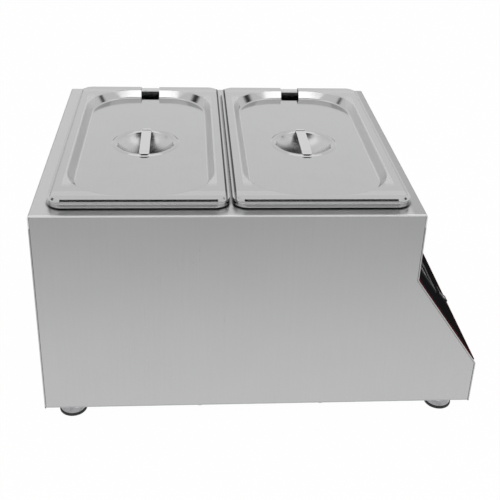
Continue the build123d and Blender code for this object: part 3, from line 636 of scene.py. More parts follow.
@dataclass(frozen=True)
class RingWalk:
    """Stations round a rounded rectangle, counterclockwise from the near side of the slot at its +X end."""

    slot: float = 11.25
    corner_steps: int = 14
    side_steps: int = 22
    end_steps: int = 7
    slot_steps: int = 4

    def stations(self) -> tuple[Array, Array, Array, Array]:
        """Shares a, b and c and the turn t of each station, each worked out evenly between the knots."""
        knots = np.array([
            (1, 0, -1, 0), (1, 0, 1, 0), (1, 1, 0, 0), (1, 1, 0, 90), (-1, 1, 0, 90), (-1, 1, 0, 180),
            (-1, -1, 0, 180), (-1, -1, 0, 270), (1, -1, 0, 270), (1, -1, 0, 360), (1, 0, -1, 360),
        ], float)
        far = 2 * self.end_steps + self.slot_steps
        counts = [self.slot_steps, self.end_steps, self.corner_steps, self.side_steps, self.corner_steps, far,
                  self.corner_steps, self.side_steps, self.corner_steps, self.end_steps]
        marks = np.concatenate([[0], np.cumsum(counts)])
        steps = np.arange(marks[-1])
        a, b, c, t = (np.interp(steps, marks, knots[:, i]) for i in range(4))
        return a, b, c, np.radians(t)

    def rings(self, half_length: Array, half_width: Array, corner: Array, narrow: Number = 0.0) -> Array:
        """Rings of points, one for each set of sizes.

        Formula: x is a times the straight half length plus the corner radius times cos t; y is b times
        the straight half width, plus c times the slot's half width, plus the radius times sin t.

        Args:
            half_length: half length of each ring.
            half_width: half width of each ring.
            corner: corner radius of each ring.
            narrow: how much narrower than its half width the slot is at each ring.

        Returns:
            An array of rings by stations by two.
        """
        a, b, c, t = self.stations()
        length, width, radius = (np.asarray(v, float)[:, None] for v in (half_length, half_width, corner))
        x = a * (length - radius) + radius * np.cos(t)
        slot = self.slot - np.broadcast_to(np.asarray(narrow, float), np.shape(half_length))[:, None]
        y = b * (width - radius) + c * slot + radius * np.sin(t)
        return np.stack([x, y], axis=-1)


def circles(like: Array, radii: Array) -> Array:
    """Round rings whose stations stand at the same bearings as those of a flat ring.

    Formula: each station is the radius times the cosine and sine of the bearing of the ring's point.
    """
    bearing = np.arctan2(like[:, 1], like[:, 0])
    radius = np.asarray(radii, float)[:, None]
    return np.stack([radius * np.cos(bearing), radius * np.sin(bearing)], axis=-1)


def grid_faces(rows: int, columns: int, round_columns: bool = True, round_rows: bool = False) -> Array:
    """Four-cornered faces of a grid whose points are numbered row by row.

    Args:
        rows: rows of points.
        columns: points in a row.
        round_columns: True where the last point of a row joins the first.
        round_rows: True where the last row joins the first.

    Returns:
        Rows of four point numbers.
    """
    i = np.arange(rows if round_rows else rows - 1)[:, None]
    j = np.arange(columns if round_columns else columns - 1)[None, :]
    next_i, next_j = (i + 1) % rows, (j + 1) % columns
    corners = [i * columns + j, i * columns + next_j, next_i * columns + next_j, next_i * columns + j]
    return np.stack(np.broadcast_arrays(*corners), axis=-1).reshape(-1, 4)


def drawn_sheet(rings: Array, heights: Array, place: str, gap: tuple[int, int] = (0, 0)) -> Shape:
    """A sheet over rings, from the first one to a point in the middle of the last one.

    Args:
        rings: flat rings by stations by two.
        heights: one height to a ring, and the middle point's.
        place: the pan place that it belongs to.
        gap: rows and columns of faces that are left out at the start of the grid.

    Returns:
        The points and the faces.
    """
    rows, columns = rings.shape[:2]
    level = np.broadcast_to(heights[:-1, None, None], (rows, columns, 1))
    points = np.concatenate([np.concatenate([rings, level], axis=-1).reshape(-1, 3), [[0, 0, heights[-1]]]])
    faces = grid_faces(rows, columns)
    row, column = np.divmod(np.arange(len(faces)), columns)
    faces = faces[~((row < gap[0]) & (column < gap[1]))].tolist()
    last = np.arange(columns) + (rows - 1) * columns
    faces += np.stack([last, np.roll(last, -1), np.full_like(last, rows * columns)], axis=-1).tolist()
    return points + [0, PAN_PLACES[place], 0], faces


def turned(profile: Array, steps: int = 64) -> Shape:
    """A closed section turned about the Z axis.

    Formula: a point at radius r and height z goes to r cos t, r sin t, z, for even steps of t. The faces
    of a counterclockwise section, with the radius to the right, look inward.

    Args:
        profile: closed section as radius and height.
        steps: points in a full turn.

    Returns:
        The points and the faces.
    """
    t = np.linspace(0, 2 * np.pi, steps, endpoint=False)
    radius, height = profile[:, :1], profile[:, 1:]
    level = np.broadcast_to(height, (len(profile), steps))
    points = np.stack([radius * np.cos(t), radius * np.sin(t), level], axis=-1)
    return points.reshape(-1, 3), grid_faces(len(profile), steps, True, True)[:, ::-1]


def copies(points: Array, faces: Array, places: Sequence[Sequence[float]]) -> Shape:
    """The same mesh at several places, as one set of points and faces."""
    spots = np.asarray(places, float)[:, None, :]
    many = (points[None] + spots).reshape(-1, 3)
    numbers = faces[None] + (np.arange(len(places)) * len(points))[:, None, None]
    return many, numbers.reshape(-1, faces.shape[1])


def rectangle(half_x: float, half_y: float) -> Array:
    """Corners of a rectangle about the middle, counterclockwise."""
    return np.array([(-half_x, -half_y), (half_x, -half_y), (half_x, half_y), (-half_x, half_y)])


def prism(outline: Array, low: float, high: float) -> Shape:
    """A flat shape drawn up between two levels.

    Args:
        outline: counterclockwise corners.
        low: lower level.
        high: upper level.

    Returns:
        The points and the faces.
    """
    count = len(outline)
    ring = np.concatenate([outline, outline])
    level = np.concatenate([np.full(count, low), np.full(count, high)])
    i = np.arange(count)
    sides = np.stack([i, (i + 1) % count, (i + 1) % count + count, i + count], axis=-1).tolist()
    return np.column_stack([ring, level]), sides + [i[::-1].tolist(), (i + count).tolist()]


def on_panel(points: Array) -> Array:
    """Points given across, up and out of the sloped face, carried to the machine."""
    return PANEL_ORIGIN + points[:, :1] * np.array([1.0, 0, 0]) + points[:, 1:2] * PANEL_UP \
        + points[:, 2:] * PANEL_OUT


def make_piece(name: str, shape: Shape, material: Material, smooth: bool = True) -> Thing:
    """Puts a mesh into the scene, its object at the origin.

    Args:
        name: the piece's name.
        shape: its mesh, in millimetres.
        material: its finish.
        smooth: True for rounded shading.

    Returns:
        The new object.
    """
    points, faces = shape
    mesh = bpy.data.meshes.new(name)
    rows = faces.tolist() if isinstance(faces, np.ndarray) else faces
    mesh.from_pydata((np.asarray(points, float) * MM).tolist(), [], rows)
    mesh.materials.append(material)
    mesh.polygons.foreach_set("use_smooth", np.full(len(mesh.polygons), smooth))
    mesh.update()
    piece = bpy.data.objects.new(name, mesh)
    bpy.context.scene.collection.objects.link(piece)
    return piece


def modify(piece: Thing, name: str, kind: str, **settings: Any) -> None:
    """Adds one modifier with its settings."""
    modifier = piece.modifiers.new(name, kind)
    for key, value in settings.items():
        setattr(modifier, key, value)


def finish_edges(piece: Thing, width: float = 0.0, crease: float = 40.0, segments: int = 2) -> None:
    """Rounds a piece's hard edges a little and evens its shading.

    Args:
        piece: the object.
        width: width of the rounding in millimetres, none at 0.
        crease: angle in degrees past which an edge is hard.
        segments: steps across the rounding.
    """
    angle = math.radians(crease)
    if width > 0:
        modify(piece, "soft_edge", "BEVEL", width=width * MM, segments=segments, limit_method="ANGLE",
               angle_limit=angle, harden_normals=False)
    else:
        modify(piece, "crease", "EDGE_SPLIT", split_angle=angle)
    modify(piece, "even_shading", "WEIGHTED_NORMAL", keep_sharp=True)


def thicken(piece: Thing, sheet: float, side: float = -1.0) -> None:
    """Gives a surface its sheet thickness in millimetres, to one side of it."""
    modify(piece, "sheet", "SOLIDIFY", thickness=sheet * MM, offset=side, use_even_offset=True,
           use_quality_normals=True)


def dress_node(name: str, slot: str, edge: float = 0.0, crease: float = 28.0) -> None:
    """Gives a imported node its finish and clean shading.

    Args:
        name: the node.
        slot: its material slot.
        edge: width in millimetres of a small rounding on its hard edges.
        crease: angle in degrees past which an edge is hard.
    """
    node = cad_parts[name]
    node.data.materials.clear()
    node.data.materials.append(finish(slot))
    node.data.polygons.foreach_set("use_smooth", np.full(len(node.data.polygons), True))
    modify(node, "weld", "WELD", merge_threshold=WELD_REACH * MM)
    finish_edges(node, edge, crease)
    LOG.info("dressed %s as %s", name, slot)


def place_piece(piece: Thing, body: str, nodes: Sequence[str] = ()) -> None:
    """Ties a new piece to its body and hides the nodes that it stands for."""
    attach(piece, body)
    if nodes:
        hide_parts(*nodes)
    LOG.info("built %s on %s", piece.name, body)


def print_sign(name: str, shape: Shape, body: str, ink: str = "mark_white") -> None:
    """Adds a printed sign with its own ink, tied to the body of what it is printed on."""
    place_piece(make_piece(name, shape, finish(ink), False), body)


# Sub-assemblies


@dataclass
class Casing:
    """Folded outer sheets, base plate and the black front film."""

    sheets: tuple[str, ...] = ("right_cheek", "left_cheek", "back_panel", "front_apron")
    screws: tuple[str, ...] = ("base_screws", "foot_screws", "foot_nuts")

    def build(self) -> None:
        """Dresses the casing's nodes."""
        for name in self.sheets:
            dress_node(name, "brushed_casing", crease=20.0)
        dress_node("top_deck", "deck_steel", crease=20.0)
        dress_node("base_plate", "base_steel")
        dress_node("control_overlay", "panel_black")
        for name in self.screws:
            dress_node(name, "zinc", 0.2)


@dataclass
class LiftOutPan:
    """Gastronorm pan with a rolled rim, a rounded mouth edge, drafted walls and a rounded floor."""

    place: str
    rim_width: float = 8.8
    mouth_corner: float = 24.0
    depth: float = 100.0
    sheet: float = 0.8
    bead: float = 4.8
    roll: float = 2.4
    mouth_round: float = 2.0
    draft: float = 5.0
    floor_round: float = 12.0
    floor_run: float = 1.6  # flat floor past the wall's foot, in floor roundings
    rim_inset: float = 3.0  # how far back on the rim the mouth's section starts
    least_corner: float = 3.0
    walk: RingWalk = field(default_factory=lambda: RingWalk(corner_steps=16))

    def surface(self) -> Shape:
        """The pan's outer and upper skin in one sheet, from under the rim over it and down inside."""
        rim = rounded_profile([(self.bead, DECK), (0, DECK), (0, RIM), (self.rim_width, RIM)],
                              [self.roll, self.sheet])[:-1]
        floor = RIM - self.depth + self.sheet
        foot = self.sheet + (RIM - floor) * math.tan(math.radians(self.draft))
        mouth = rounded_profile([(-self.rim_inset, RIM), (self.sheet, RIM), (foot, floor),
                                 (foot + self.floor_run * self.floor_round, floor)],
                                [self.mouth_round, self.floor_round], FINE_ARC)
        in_rim, in_mouth = rim[:, 0], mouth[:, 0]
        long_mouth, wide_mouth = PAN_HALF_LENGTH - self.rim_width, PAN_HALF_WIDTH - self.rim_width
        radius = np.maximum(self.mouth_corner - np.maximum(in_mouth - foot, 0)
                            - np.clip(in_mouth, None, self.sheet), self.least_corner)
        flat = np.concatenate([
            self.walk.rings(PAN_HALF_LENGTH - in_rim, PAN_HALF_WIDTH - in_rim, PAN_CORNER - in_rim),
            self.walk.rings(long_mouth - in_mouth, wide_mouth - in_mouth, radius),
        ])
        return drawn_sheet(flat, np.concatenate([rim[:, 1], mouth[:, 1], [floor]]), self.place)

    def build(self) -> None:
        """Makes the pan."""
        piece = make_piece(f"{self.place}_pan_pressing", self.surface(), finish("pan_steel"))
        thicken(piece, self.sheet)
        finish_edges(piece)
        place_piece(piece, f"{self.place}_pan", [f"{self.place}_pan"])


@dataclass
class PressedLid:
    """Pressed lid: lip, 45 degree step, plateau, recess, raised ring, dish, ladle slot and strap."""

    place: str
    sheet: float = 0.8
    lip: float = 2.2
    step: float = 1.9
    lip_round: float = 0.3
    step_round: float = 0.5
    recess_length: float = 149.0
    recess_width: float = 75.0
    recess_corner: float = 57.0
    recess_run: float = 6.6
    rim_round: float = 2.0
    floor_round: float = 3.0
    slot_reach: float = 5.0
    slot_corner: float = 3.2
    least_gap: float = 0.05  # nearer points than this are left out
    ring_radius: float = 34.6
    ring_half: float = 3.5
    ring_flat: float = 1.0  # half width of the ring's crest
    ring_height: float = 1.2
    ring_run: float = 2.0
    ring_rounds: tuple[float, ...] = (2.0, 2.5, 2.5, 3.0)
    bowl_tilts: tuple[float, float, int] = (4.0, 2.0, 16)  # degrees left out at either end, and points
    strap_half: float = 36.2
    strap_foot: float = 4.1
    strap_ramp: float = 4.2
    strap_rise: float = 0.8
    strap_bend: float = 3.5
    strap_width: float = 11.0
    strap_sheet: float = 1.2
    strap_corner: float = 3.0
    strap_columns: int = 9
    edge_round: float = 0.18
    strap_edge_round: float = 0.4
    least_step: float = 0.02  # the strap's points stand at least this far apart
    plateau_ends: Span = (2.0, 3.0)  # plateau past the step, and before the recess
    walk: RingWalk = field(default_factory=RingWalk)

    def recess_section(self) -> tuple[Array, Array]:
        """Half section of the recess from the plateau to the slot's end, and how it narrows the slot.

        Formula: over the last stretch, as long as the slot's corner radius, the points stand closer as
        the sine of an even turn, and the slot is narrower by the radius less the leg of its circle.
        """
        run, reach = self.recess_run, self.recess_run + self.slot_reach
        recess = rounded_profile([(-self.plateau_ends[1], PLATEAU), (0, PLATEAU), (run, RECESS),
                                  (reach, RECESS)], [self.rim_round, self.floor_round], FINE_ARC)
        turn = np.radians(np.arange(15, 91, 15))
        floor = reach - self.slot_corner * (1 - np.sin(turn))
        before = recess[:, 0] < floor[0] - self.least_gap
        recess = np.concatenate([recess[before], [(x, RECESS) for x in floor]])
        into = np.clip(recess[:, 0] - (reach - self.slot_corner), 0, self.slot_corner)
        return recess, self.slot_corner - np.sqrt(self.slot_corner ** 2 - into ** 2)

    def surface(self) -> Shape:
        """The lid's upper face, from its lip to the middle of the dish, with the slot left out."""
        lip_z, top = RIM + self.sheet, self.lip + self.step
        border = rounded_profile([(0, lip_z), (self.lip, lip_z), (top, PLATEAU),
                                  (top + self.plateau_ends[0], PLATEAU)], [self.lip_round, self.step_round])
        recess, narrow = self.recess_section()
        dish = self.dish_section()
        inset, into = border[:, 0], recess[:, 0]
        outline = self.walk.rings(PAN_HALF_LENGTH - inset, PAN_HALF_WIDTH - inset, PAN_CORNER - inset)
        hollow = self.walk.rings(self.recess_length - into, self.recess_width - into,
                                 self.recess_corner - into, narrow)
        flat = np.concatenate([outline, hollow, circles(hollow[-1], dish[:, 0])])
        heights = np.concatenate([border[:, 1], recess[:, 1], dish[:, 1], [DISH]])
        return drawn_sheet(flat, heights, self.place, (len(border) + len(recess) - 1, self.walk.slot_steps))

    def dish_section(self) -> Array:
        """Half section of the raised ring and the bowl inside it, from the outside in.

        Formula: the bowl's radius is the mouth squared plus the depth squared, over twice the depth; its
        points lie at that radius times the sine of the tilt, and as far over the bottom as the radius
        less its cosine part.
        """
        outer, inner = self.ring_radius + self.ring_half, self.ring_radius - self.ring_half
        top, depth = RECESS + self.ring_height, RECESS - DISH
        radius = (inner ** 2 + depth ** 2) / (2 * depth)
        steepest = math.degrees(math.asin(inner / radius))
        start, end, count = self.bowl_tilts
        tilt = np.radians(np.linspace(steepest - start, end, count))
        bowl = np.column_stack([radius * np.sin(tilt), DISH + radius * (1 - np.cos(tilt))])
        crest = rounded_profile([(outer + self.ring_run, RECESS), (outer, RECESS),
                                 (self.ring_radius + self.ring_flat, top),
                                 (self.ring_radius - self.ring_flat, top), (inner, RECESS), bowl[0]],
                                self.ring_rounds, FINE_ARC)
        return np.concatenate([crest, bowl[1:]])

    def strap(self) -> Shape:
        """Underside of the strap handle.

        Formula: the section along X is a rounded bent line; the strap's half width w narrows near each
        end by the corner radius less the leg of its circle; a point lies at v times w across. The points
        near the ends stand closer, as the cosine of an even turn.
        """
        foot = RECESS + self.ring_height
        grip = foot + self.strap_rise
        bend = self.strap_half - self.strap_foot
        shoulder = bend - self.strap_ramp
        path = rounded_profile([(-self.strap_half, foot), (-bend, foot), (-shoulder, grip), (shoulder, grip),
                                (bend, foot), (self.strap_half, foot)], [self.strap_bend] * 4, 8.0)
        ends = self.strap_half - self.strap_corner * (1 - np.cos(np.radians(np.arange(0, 91, 15))))
        rises = np.interp(ends[::-1], path[:, 0], path[:, 1])
        path = np.concatenate([np.column_stack([-ends, rises[::-1]]), path[1:-1],
                               np.column_stack([ends[::-1], rises])])
        path = path[np.concatenate([[True], np.diff(path[:, 0]) > self.least_step])]
        near = np.clip(self.strap_corner - (self.strap_half - np.abs(path[:, 0])), 0, self.strap_corner)
        half = self.strap_width / 2 - (self.strap_corner - np.sqrt(self.strap_corner ** 2 - near ** 2))
        across = np.linspace(-1, 1, self.strap_columns)
        x, v = np.meshgrid(path[:, 0], across, indexing="ij")
        z = np.broadcast_to(path[:, 1:2], x.shape)
        points = np.stack([x, v * half[:, None], z], axis=-1).reshape(-1, 3)
        faces = grid_faces(len(path), len(across), False)
        return points + [0, PAN_PLACES[self.place], 0], faces[:, ::-1]

    def build(self) -> None:
        """Makes the lid and its strap."""
        steel = finish("lid_steel")
        pressing = make_piece(f"{self.place}_lid_pressing", self.surface(), steel)
        thicken(pressing, self.sheet)
        finish_edges(pressing, self.edge_round)
        place_piece(pressing, f"{self.place}_lid", [f"{self.place}_lid"])
        strap = make_piece(f"{self.place}_strap", self.strap(), steel)
        thicken(strap, self.strap_sheet, 1.0)
        finish_edges(strap, self.strap_edge_round, segments=3)
        place_piece(strap, f"{self.place}_lid", [f"{self.place}_lid_handle"])


@dataclass
class HeatedWell:
    """Well, heating mat, press plate, cut-out, probe, saddle and wool of one pan place."""

    place: str
    slots: tuple[tuple[str, str], ...] = (
        ("well", "well_steel"), ("heater_mat", "mat_silicone"), ("press_plate", "press_aluminium"),
        ("thermal_cutout", "black_plastic"), ("probe", "zinc"), ("probe_saddle", "zinc"), ("blanket", "wool"),
    )

    def build(self) -> None:
        """Dresses the nodes of this place."""
        for kind, slot in self.slots:
            dress_node(f"{self.place}_{kind}", slot)


@dataclass
class Feet:
    """Four round feet: domed metal cup over a rubber ring."""

    places: tuple[tuple[float, float, float], ...] = (
        (-149.0, -202.0, 0.0), (-149.0, 202.0, 0.0), (149.0, -202.0, 0.0), (149.0, 202.0, 0.0))
    height: float = 21.0
    neck: float = 9.0
    neck_length: float = 4.5
    flare: float = 0.6
    radius: float = 14.0
    ring_radius: float = 14.7
    ring_inner: float = 10.2
    ring_height: float = 3.4
    seat: float = 2.6
    wall: float = 1.2
    bore: float = 3.15
    top_round: float = 0.9
    edge_round: float = 0.35
    edge_height: float = 1.0
    hollow: tuple[float, float, float] = (1.8, 7.2, 14.8)  # wall over the edge, its top, the web's underside
    groove: float = 12.65
    seam: float = 12.0  # where the ring's section starts and ends
    ring_rounds: tuple[float, ...] = (0.8, 0.3, 0.1, 0.1, 0.1, 0.1, 0.3, 0.6)

    def cup_section(self) -> Array:
        """Closed section of the cup: neck, quarter-ellipse dome, rolled edge and the hollow inside."""
        neck_low = self.height - self.neck_length
        start = self.neck + self.flare
        t = np.radians(np.arange(0, 91, 6.0))[1:-1]
        dome = np.column_stack([start + (self.radius - start) * np.sin(t),
                                self.seat + (neck_low - self.seat) * np.cos(t)])
        top = rounded_profile([(self.bore, self.height), (self.neck, self.height), (start, neck_low)],
                              [self.top_round])
        inner, edge_top = self.radius - self.wall, self.seat + self.edge_height
        edge = rounded_profile([(self.radius, edge_top), (self.radius, self.seat), (inner, self.seat),
                                (inner, edge_top)], [self.edge_round] * 2)
        wall, wall_top, web = self.hollow
        inside = np.array([(self.radius - wall, wall_top), (self.neck - self.flare, web), (self.bore, web)])
        return np.concatenate([top, dome, edge, inside])[::-1]

    def ring_section(self) -> Array:
        """Closed section of the rubber ring, with the groove that holds the cup's edge."""
        top = self.ring_height
        corners = [(self.seam, 0.0), (self.ring_radius, 0.0), (self.ring_radius, top), (self.radius, top),
                   (self.radius, self.seat), (self.groove, self.seat), (self.groove, top),
                   (self.ring_inner, top), (self.ring_inner, 0.0), (self.seam, 0.0)]
        return rounded_profile(corners, self.ring_rounds)[:-1]

    def build(self) -> None:
        """Makes the cups and rings."""
        for name, section, slot in (("foot_cups", self.cup_section(), "foot_metal"),
                                    ("foot_rings", self.ring_section(), "foot_rubber")):
            piece = make_piece(f"{name}_turned", copies(*turned(section), self.places), finish(slot))
            finish_edges(piece, crease=38.0)
            place_piece(piece, "housing", [name])


@dataclass
class Thermostat:
    """Panel thermostat: bezel, tinted window with three figures, and four marked keys."""

    side: str
    rise: float = 17.0
    face: float = 3.0
    window_drop: float = 1.0
    window_offset: float = -14.0
    key_offset: float = 19.5
    key_pitch: float = 9.6
    key_rows: float = 9.4
    key_proud: float = 0.9
    figures: str = "045"
    figure_height: float = 10.0
    figure_width: float = 5.4
    figure_gap: float = 3.4
    stroke: float = 1.15
    bar_gap: float = 0.5
    lean: float = 0.1
    bar_levels: Span = (0.01, 0.07)  # over the window

    SEGMENTS = {"0": "abcdef", "4": "bcfg", "5": "acdfg"}
    LEVEL_BARS = "adg"

    def bars(self) -> tuple[Array, Array]:
        """Middles of the bars that the figures have, across and up the slope, and which bars lie level."""
        w, h = self.figure_width / 2, self.figure_height / 2
        middles = {"a": (0, h), "b": (w, h / 2), "c": (w, -h / 2), "d": (0, -h), "e": (-w, -h / 2),
                   "f": (-w, h / 2), "g": (0, 0)}
        pitch = self.figure_width + self.figure_gap
        rows, flat = [], []
        for number, figure in enumerate(self.figures):
            shift = (number - (len(self.figures) - 1) / 2) * pitch
            rows += [(middles[bar][0] + shift, middles[bar][1]) for bar in self.SEGMENTS[figure]]
            flat += [bar in self.LEVEL_BARS for bar in self.SEGMENTS[figure]]
        return np.array(rows), np.array(flat)

    def display(self) -> Shape:
        """Six-sided bars just over the window.

        Formula: a bar is a hexagon with pointed ends, turned a quarter for the upright ones, moved to
        its middle, leant forward by a tenth of its height up the slope, and drawn up by a hair.
        """
        middles, flat = self.bars()
        tip, s = (self.figure_height / 2 - self.bar_gap) / 2, self.stroke / 2
        hexagon = np.array([(-tip, 0), (s - tip, -s), (tip - s, -s), (tip, 0), (tip - s, s), (s - tip, s)])
        upright = hexagon[:, ::-1] * [-1, 1]
        bars = np.where(flat[:, None, None], hexagon, upright) + middles[:, None, :]
        bars[..., 0] += self.lean * bars[..., 1] + CONTROL_PLACES[self.side] + self.window_offset
        bars[..., 1] += self.rise
        points, faces = [], []
        window = self.face - self.window_drop
        for bar in bars:
            corners, sides = prism(bar, *(window + level for level in self.bar_levels))
            faces += [[number + len(points) * len(corners) for number in side] for side in sides]
            points.append(corners)
        return on_panel(np.concatenate(points)), faces

    def key_marks(self) -> list[Array]:
        """Outlines of the four key marks: up, down, an eight-sided dot and a bar."""
        eight = np.radians(np.arange(0, 360, 45))
        arrow = np.array([(-1.5, -0.9), (1.5, -0.9), (0, 1.3)])
        return [arrow, -arrow[[2, 0, 1]], 1.1 * np.column_stack([np.cos(eight), np.sin(eight)]),
                rectangle(1.6, 0.4)]

    def build(self) -> None:
        """Dresses the thermostat and adds its figures and marks."""
        side, x = self.side, CONTROL_PLACES[self.side]
        dress_node(f"{side}_controller", "black_plastic")
        dress_node(f"{side}_window", "window_tint")
        print_sign(f"{side}_figures", self.display(), "housing", "display_unlit")
        spots = [(x + self.key_offset + i * self.key_pitch / 2, self.rise + j * self.key_rows / 2)
                 for j in (1, -1) for i in (-1, 1)]
        for number, (spot, outline) in enumerate(zip(spots, self.key_marks()), 1):
            dress_node(f"{side}_button_{number}", "button_grey")
            top = self.face + self.key_proud
            corners, faces = prism(outline + spot, *(top + level for level in SIGN_LEVELS))
            print_sign(f"{side}_key_mark_{number}", (on_panel(corners), faces), f"{side}_button_{number}")


@dataclass
class RockerSwitch:
    """Rocker switch with the on and off signs on its key."""

    side: str
    drop: float = 34.0
    pivot: float = 1.0
    throw: float = 18.0
    crown: float = 1.2
    mark_height: float = 4.2
    bar_half: Span = (0.35, 1.6)
    ring_radii: Span = (1.1, 1.65)
    ring_steps: int = 32

    def on_key(self, points: Array) -> Array:
        """Points given on the key's two faces, carried to the machine.

        Formula: the level is the crown plus the distance from the middle times the tangent of half the
        throw, plus the height over the face; the whole is turned back by half the throw about the pivot.
        """
        half = math.radians(self.throw / 2)
        level = self.crown + np.abs(points[:, 1]) * math.tan(half) + points[:, 2]
        up = points[:, 1] * math.cos(half) + level * math.sin(half)
        out = -points[:, 1] * math.sin(half) + level * math.cos(half)
        across = points[:, 0] + CONTROL_PLACES[self.side]
        return on_panel(np.column_stack([across, up - self.drop, out + self.pivot]))

    def build(self) -> None:
        """Dresses the switch and adds the two signs."""
        side = self.side
        dress_node(f"{side}_rocker_frame", "black_plastic", 0.25)
        dress_node(f"{side}_rocker_key", "rocker_black", 0.25)
        bar = rectangle(*self.bar_half) + [0, self.mark_height]
        inner, outer = self.ring_radii
        low, high = SIGN_LEVELS
        ring, ring_faces = turned(np.array([(outer, low), (outer, high), (inner, high), (inner, low)]),
                                  self.ring_steps)
        signs = {"on": prism(bar, low, high), "off": (ring - [0, self.mark_height, 0], ring_faces[:, ::-1])}
        for name, (points, faces) in signs.items():
            print_sign(f"{side}_sign_{name}", (self.on_key(points), faces), f"{side}_rocker")


@dataclass
class Wiring:
    """Cord gland, terminal block, earth stud, clips and the small nuts and screws."""

    slots: tuple[tuple[str, str, float], ...] = (
        ("cord_gland", "black_plastic", 0.3), ("gland_nut", "black_plastic", 0.3),
        ("terminal_block", "ceramic", 0.3), ("terminal_screws", "zinc", 0.2), ("earth_stud", "brass", 0.0),
        ("earth_nuts", "brass", 0.2), ("stud_nuts", "zinc", 0.2), ("controller_clips", "clip_orange", 0.3),
    )

    def build(self) -> None:
        """Dresses the nodes."""
        for name, slot, edge in self.slots:
            dress_node(name, slot, edge)


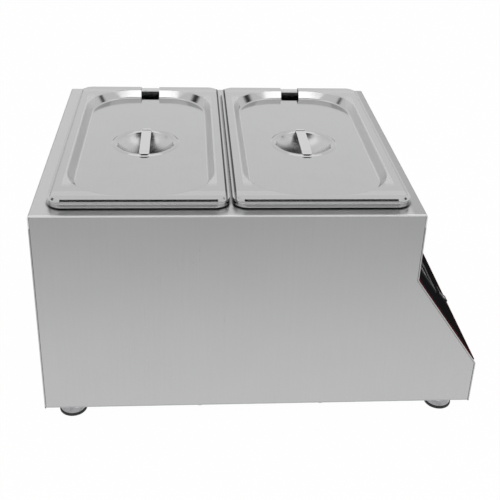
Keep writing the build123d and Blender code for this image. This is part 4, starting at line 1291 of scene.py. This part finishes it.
@dataclass
class Studio:
    """Pale floor, white surroundings, a soft lamp, cards that only gloss sees, and the camera.

    Its lengths are in metres and its angles in degrees.
    """

    floor_half: float = 14.0
    floor_own: float = 0.98  # how much of the floor is its own white where it is seen
    lamp_place: tuple[float, float, float] = (-1.9, 0.0, 2.25)
    lamp_target: tuple[float, float, float] = (0.0, 0.0, 0.15)
    lamp_size: Span = (3.6, 1.05)
    lamp_watts: float = 20.0
    world_light: float = 0.72  # strength of the surroundings where they aren't seen
    side_away: float = 2.2
    side_x: Span = (-0.2, 1.04)
    side_z: Span = (0.7, 1.8)
    side_middle: float = 0.42  # the side cards' darkest place along X
    side_spread: Span = (0.10, 0.62)
    side_dark: float = 0.06
    foot_half: float = 2.4
    foot_height: float = 0.0006
    foot_box: Span = (0.175, 0.228)  # half lengths that the foot card is bright round
    foot_stretch: float = 0.4  # how slowly it darkens along Y
    foot_spread: Span = (0.02, 0.62)
    foot_levels: Span = (0.98, 0.56)
    place: tuple[float, float, float] = (-0.88900, 0.07884, 0.63518)
    yaw: float = -4.616
    pitch: float = 26.286
    roll: float = -2.002
    lens: float = 61.48
    shift: Span = (0.0031, -0.1261)

    # Plain cards: strength, and four corners
    CARDS = {
        "ceiling_flag": (0.01, [(-1.5, -1.0, 2.5), (-1.5, 1.0, 2.5), (-0.22, 1.0, 2.5), (-0.22, -1.0, 2.5)]),
        "top_card": (1.4, [(-0.20, -1.6, 2.5), (-0.20, 1.6, 2.5), (1.0, 1.6, 2.5), (1.0, -1.6, 2.5)]),
        "camera_flag": (0.04, [(-2.7, -2.2, 0.42), (-2.7, 2.2, 0.42), (-2.7, 2.2, 1.80), (-2.7, -2.2, 1.80)]),
        "far_flag": (0.20, [(3.0, -2.4, 0.0), (3.0, 2.4, 0.0), (3.0, 2.4, 0.56), (3.0, -2.4, 0.56)]),
    }

    def seen_directly(self, r: Recipe) -> Field:
        """1 for rays from the camera, from gloss and through glass, and 0 for the light that lights."""
        camera = r.node("ShaderNodeLightPath", output="Is Camera Ray")
        return (camera + camera.other("Is Glossy Ray") + camera.other("Is Transmission Ray")).least(1.0)

    def sheet(self, name: str, corners: Any, material: Material) -> Thing:
        """A flat stage sheet."""
        made = make_piece(name, (np.asarray(corners, float) / MM, [[0, 1, 2, 3]]), material, False)
        return made

    def level_corners(self, half: float, height: float) -> Array:
        """Corners of a level square about the machine."""
        return np.column_stack([rectangle(half, half), np.full(4, height)])

    def floor(self) -> None:
        """The pale floor: its own white where it is seen, with a faint shadow of the machine."""
        r = Recipe("studio_floor")
        mottle = r.noise(r.place(), 2.5, 2.0, 0.5)
        pale = r.node("ShaderNodeBsdfDiffuse", None, {"Color": r.tint(mottle, 0.80, 0.83)})
        white = r.node("ShaderNodeEmission", None, {"Color": WHITE, "Strength": 1.0})
        share = self.seen_directly(r) * self.floor_own
        material = r.close(r.node("ShaderNodeMixShader", None, {0: share, 1: pale, 2: white}))
        self.sheet("floor", self.level_corners(self.floor_half, 0.0), material)

    def card(self, name: str, corners: Any, strength: Any, r: Recipe) -> None:
        """A card that only gloss sees.

        Args:
            name: the card's name.
            corners: four places.
            strength: how bright it is, as a number or a field.
            r: the recipe of its material.
        """
        material = r.close(r.node("ShaderNodeEmission", None, {"Color": WHITE, "Strength": strength}))
        card = self.sheet(name, corners, material)
        card.visible_camera = card.visible_diffuse = card.visible_shadow = card.visible_transmission = False

    def cards(self) -> None:
        """Cards overhead, behind the camera, far off and at the sides, and a graded one at the foot."""
        for name, (strength, corners) in self.CARDS.items():
            self.card(name, corners, strength, Recipe(name))
        (x0, x1), (z0, z1) = self.side_x, self.side_z
        for name, y in (("left_flag", self.side_away), ("right_flag", -self.side_away)):
            r = Recipe(name)
            away = abs(r.axes()[0] - self.side_middle)
            strength = away.band(*self.side_spread) * (1.0 - self.side_dark) + self.side_dark
            self.card(name, [(x0, y, z0), (x1, y, z0), (x1, y, z1), (x0, y, z1)], strength, r)
        r = Recipe("foot_flag")
        x, y, _ = r.axes()
        past_x, past_y = abs(x) - self.foot_box[0], (abs(y) - self.foot_box[1]) * self.foot_stretch
        bright, dark = self.foot_levels
        strength = bright - past_corner(past_x, past_y).band(*self.foot_spread) * (bright - dark)
        self.card("foot_flag", self.level_corners(self.foot_half, self.foot_height), strength, r)

    def stand(self, name: str, data: bpy.types.ID, axes: Sequence[Array], spot: Sequence[float]) -> Thing:
        """Puts up a lamp or a camera.

        Args:
            name: the object's name.
            data: the lamp or camera.
            axes: where its own right, up and back point.
            spot: its place.

        Returns:
            The object.
        """
        thing = bpy.data.objects.new(name, data)
        bpy.context.scene.collection.objects.link(thing)
        thing.matrix_world = Matrix(np.column_stack([*axes, spot]).tolist() + [[0, 0, 0, 1]])
        return thing

    def lamp(self) -> None:
        """One window-like lamp behind the camera, which faces the machine."""
        data = bpy.data.lights.new("window_lamp", "AREA")
        data.shape = "RECTANGLE"
        data.size, data.size_y = self.lamp_size
        data.energy = self.lamp_watts
        away = np.array(self.lamp_place) - self.lamp_target
        back = away / np.linalg.norm(away)
        right = np.cross([0, 0, 1], back)
        right = right / np.linalg.norm(right)
        self.stand("window_lamp", data, (right, np.cross(back, right), back), self.lamp_place)

    def world(self) -> None:
        """White surroundings, a little dimmer for the light that falls on the machine."""
        world = bpy.data.worlds.new("surroundings")
        bpy.context.scene.world = world
        r = Recipe("surroundings", world)
        strength = self.world_light + self.seen_directly(r) * (1.0 - self.world_light)
        r.close(r.node("ShaderNodeBackground", None, {"Color": WHITE, "Strength": strength}),
                "ShaderNodeOutputWorld")

    def camera(self) -> None:
        """The camera at the photograph's angle.

        Formula: ahead is the direction at the yaw, sunk by the pitch; level is square to it in the floor's
        plane and above is square to both; right and up are these two turned by the roll.
        """
        data = bpy.data.cameras.new("camera")
        data.lens = self.lens
        data.sensor_width = 36.0
        data.shift_x, data.shift_y = self.shift
        data.clip_start, data.clip_end = 0.01, 60.0
        yaw, pitch, roll = (math.radians(v) for v in (self.yaw, self.pitch, self.roll))
        ahead = np.array([math.cos(yaw) * math.cos(pitch), math.sin(yaw) * math.cos(pitch), -math.sin(pitch)])
        level = np.array([math.sin(yaw), -math.cos(yaw), 0.0])
        above = np.cross(level, ahead)
        right = math.cos(roll) * level - math.sin(roll) * above
        up = math.sin(roll) * level + math.cos(roll) * above
        bpy.context.scene.camera = self.stand("camera", data, (right, up, -ahead), self.place)

    def build(self) -> None:
        """Sets up the whole studio."""
        self.camera()
        self.floor()
        self.cards()
        self.lamp()
        self.world()
        bpy.context.scene.view_settings.view_transform = "Standard"


def main() -> None:
    """Builds the studio and every sub-assembly in order."""
    logging.basicConfig(level=logging.INFO, format="%(name)s: %(message)s")
    Studio().build()
    Casing().build()
    Feet().build()
    Wiring().build()
    for place in PAN_PLACES:
        HeatedWell(place).build()
        LiftOutPan(place).build()
        PressedLid(place).build()
    for side in CONTROL_PLACES:
        Thermostat(side).build()
        RockerSwitch(side).build()


if __name__ == "__main__":
    main()
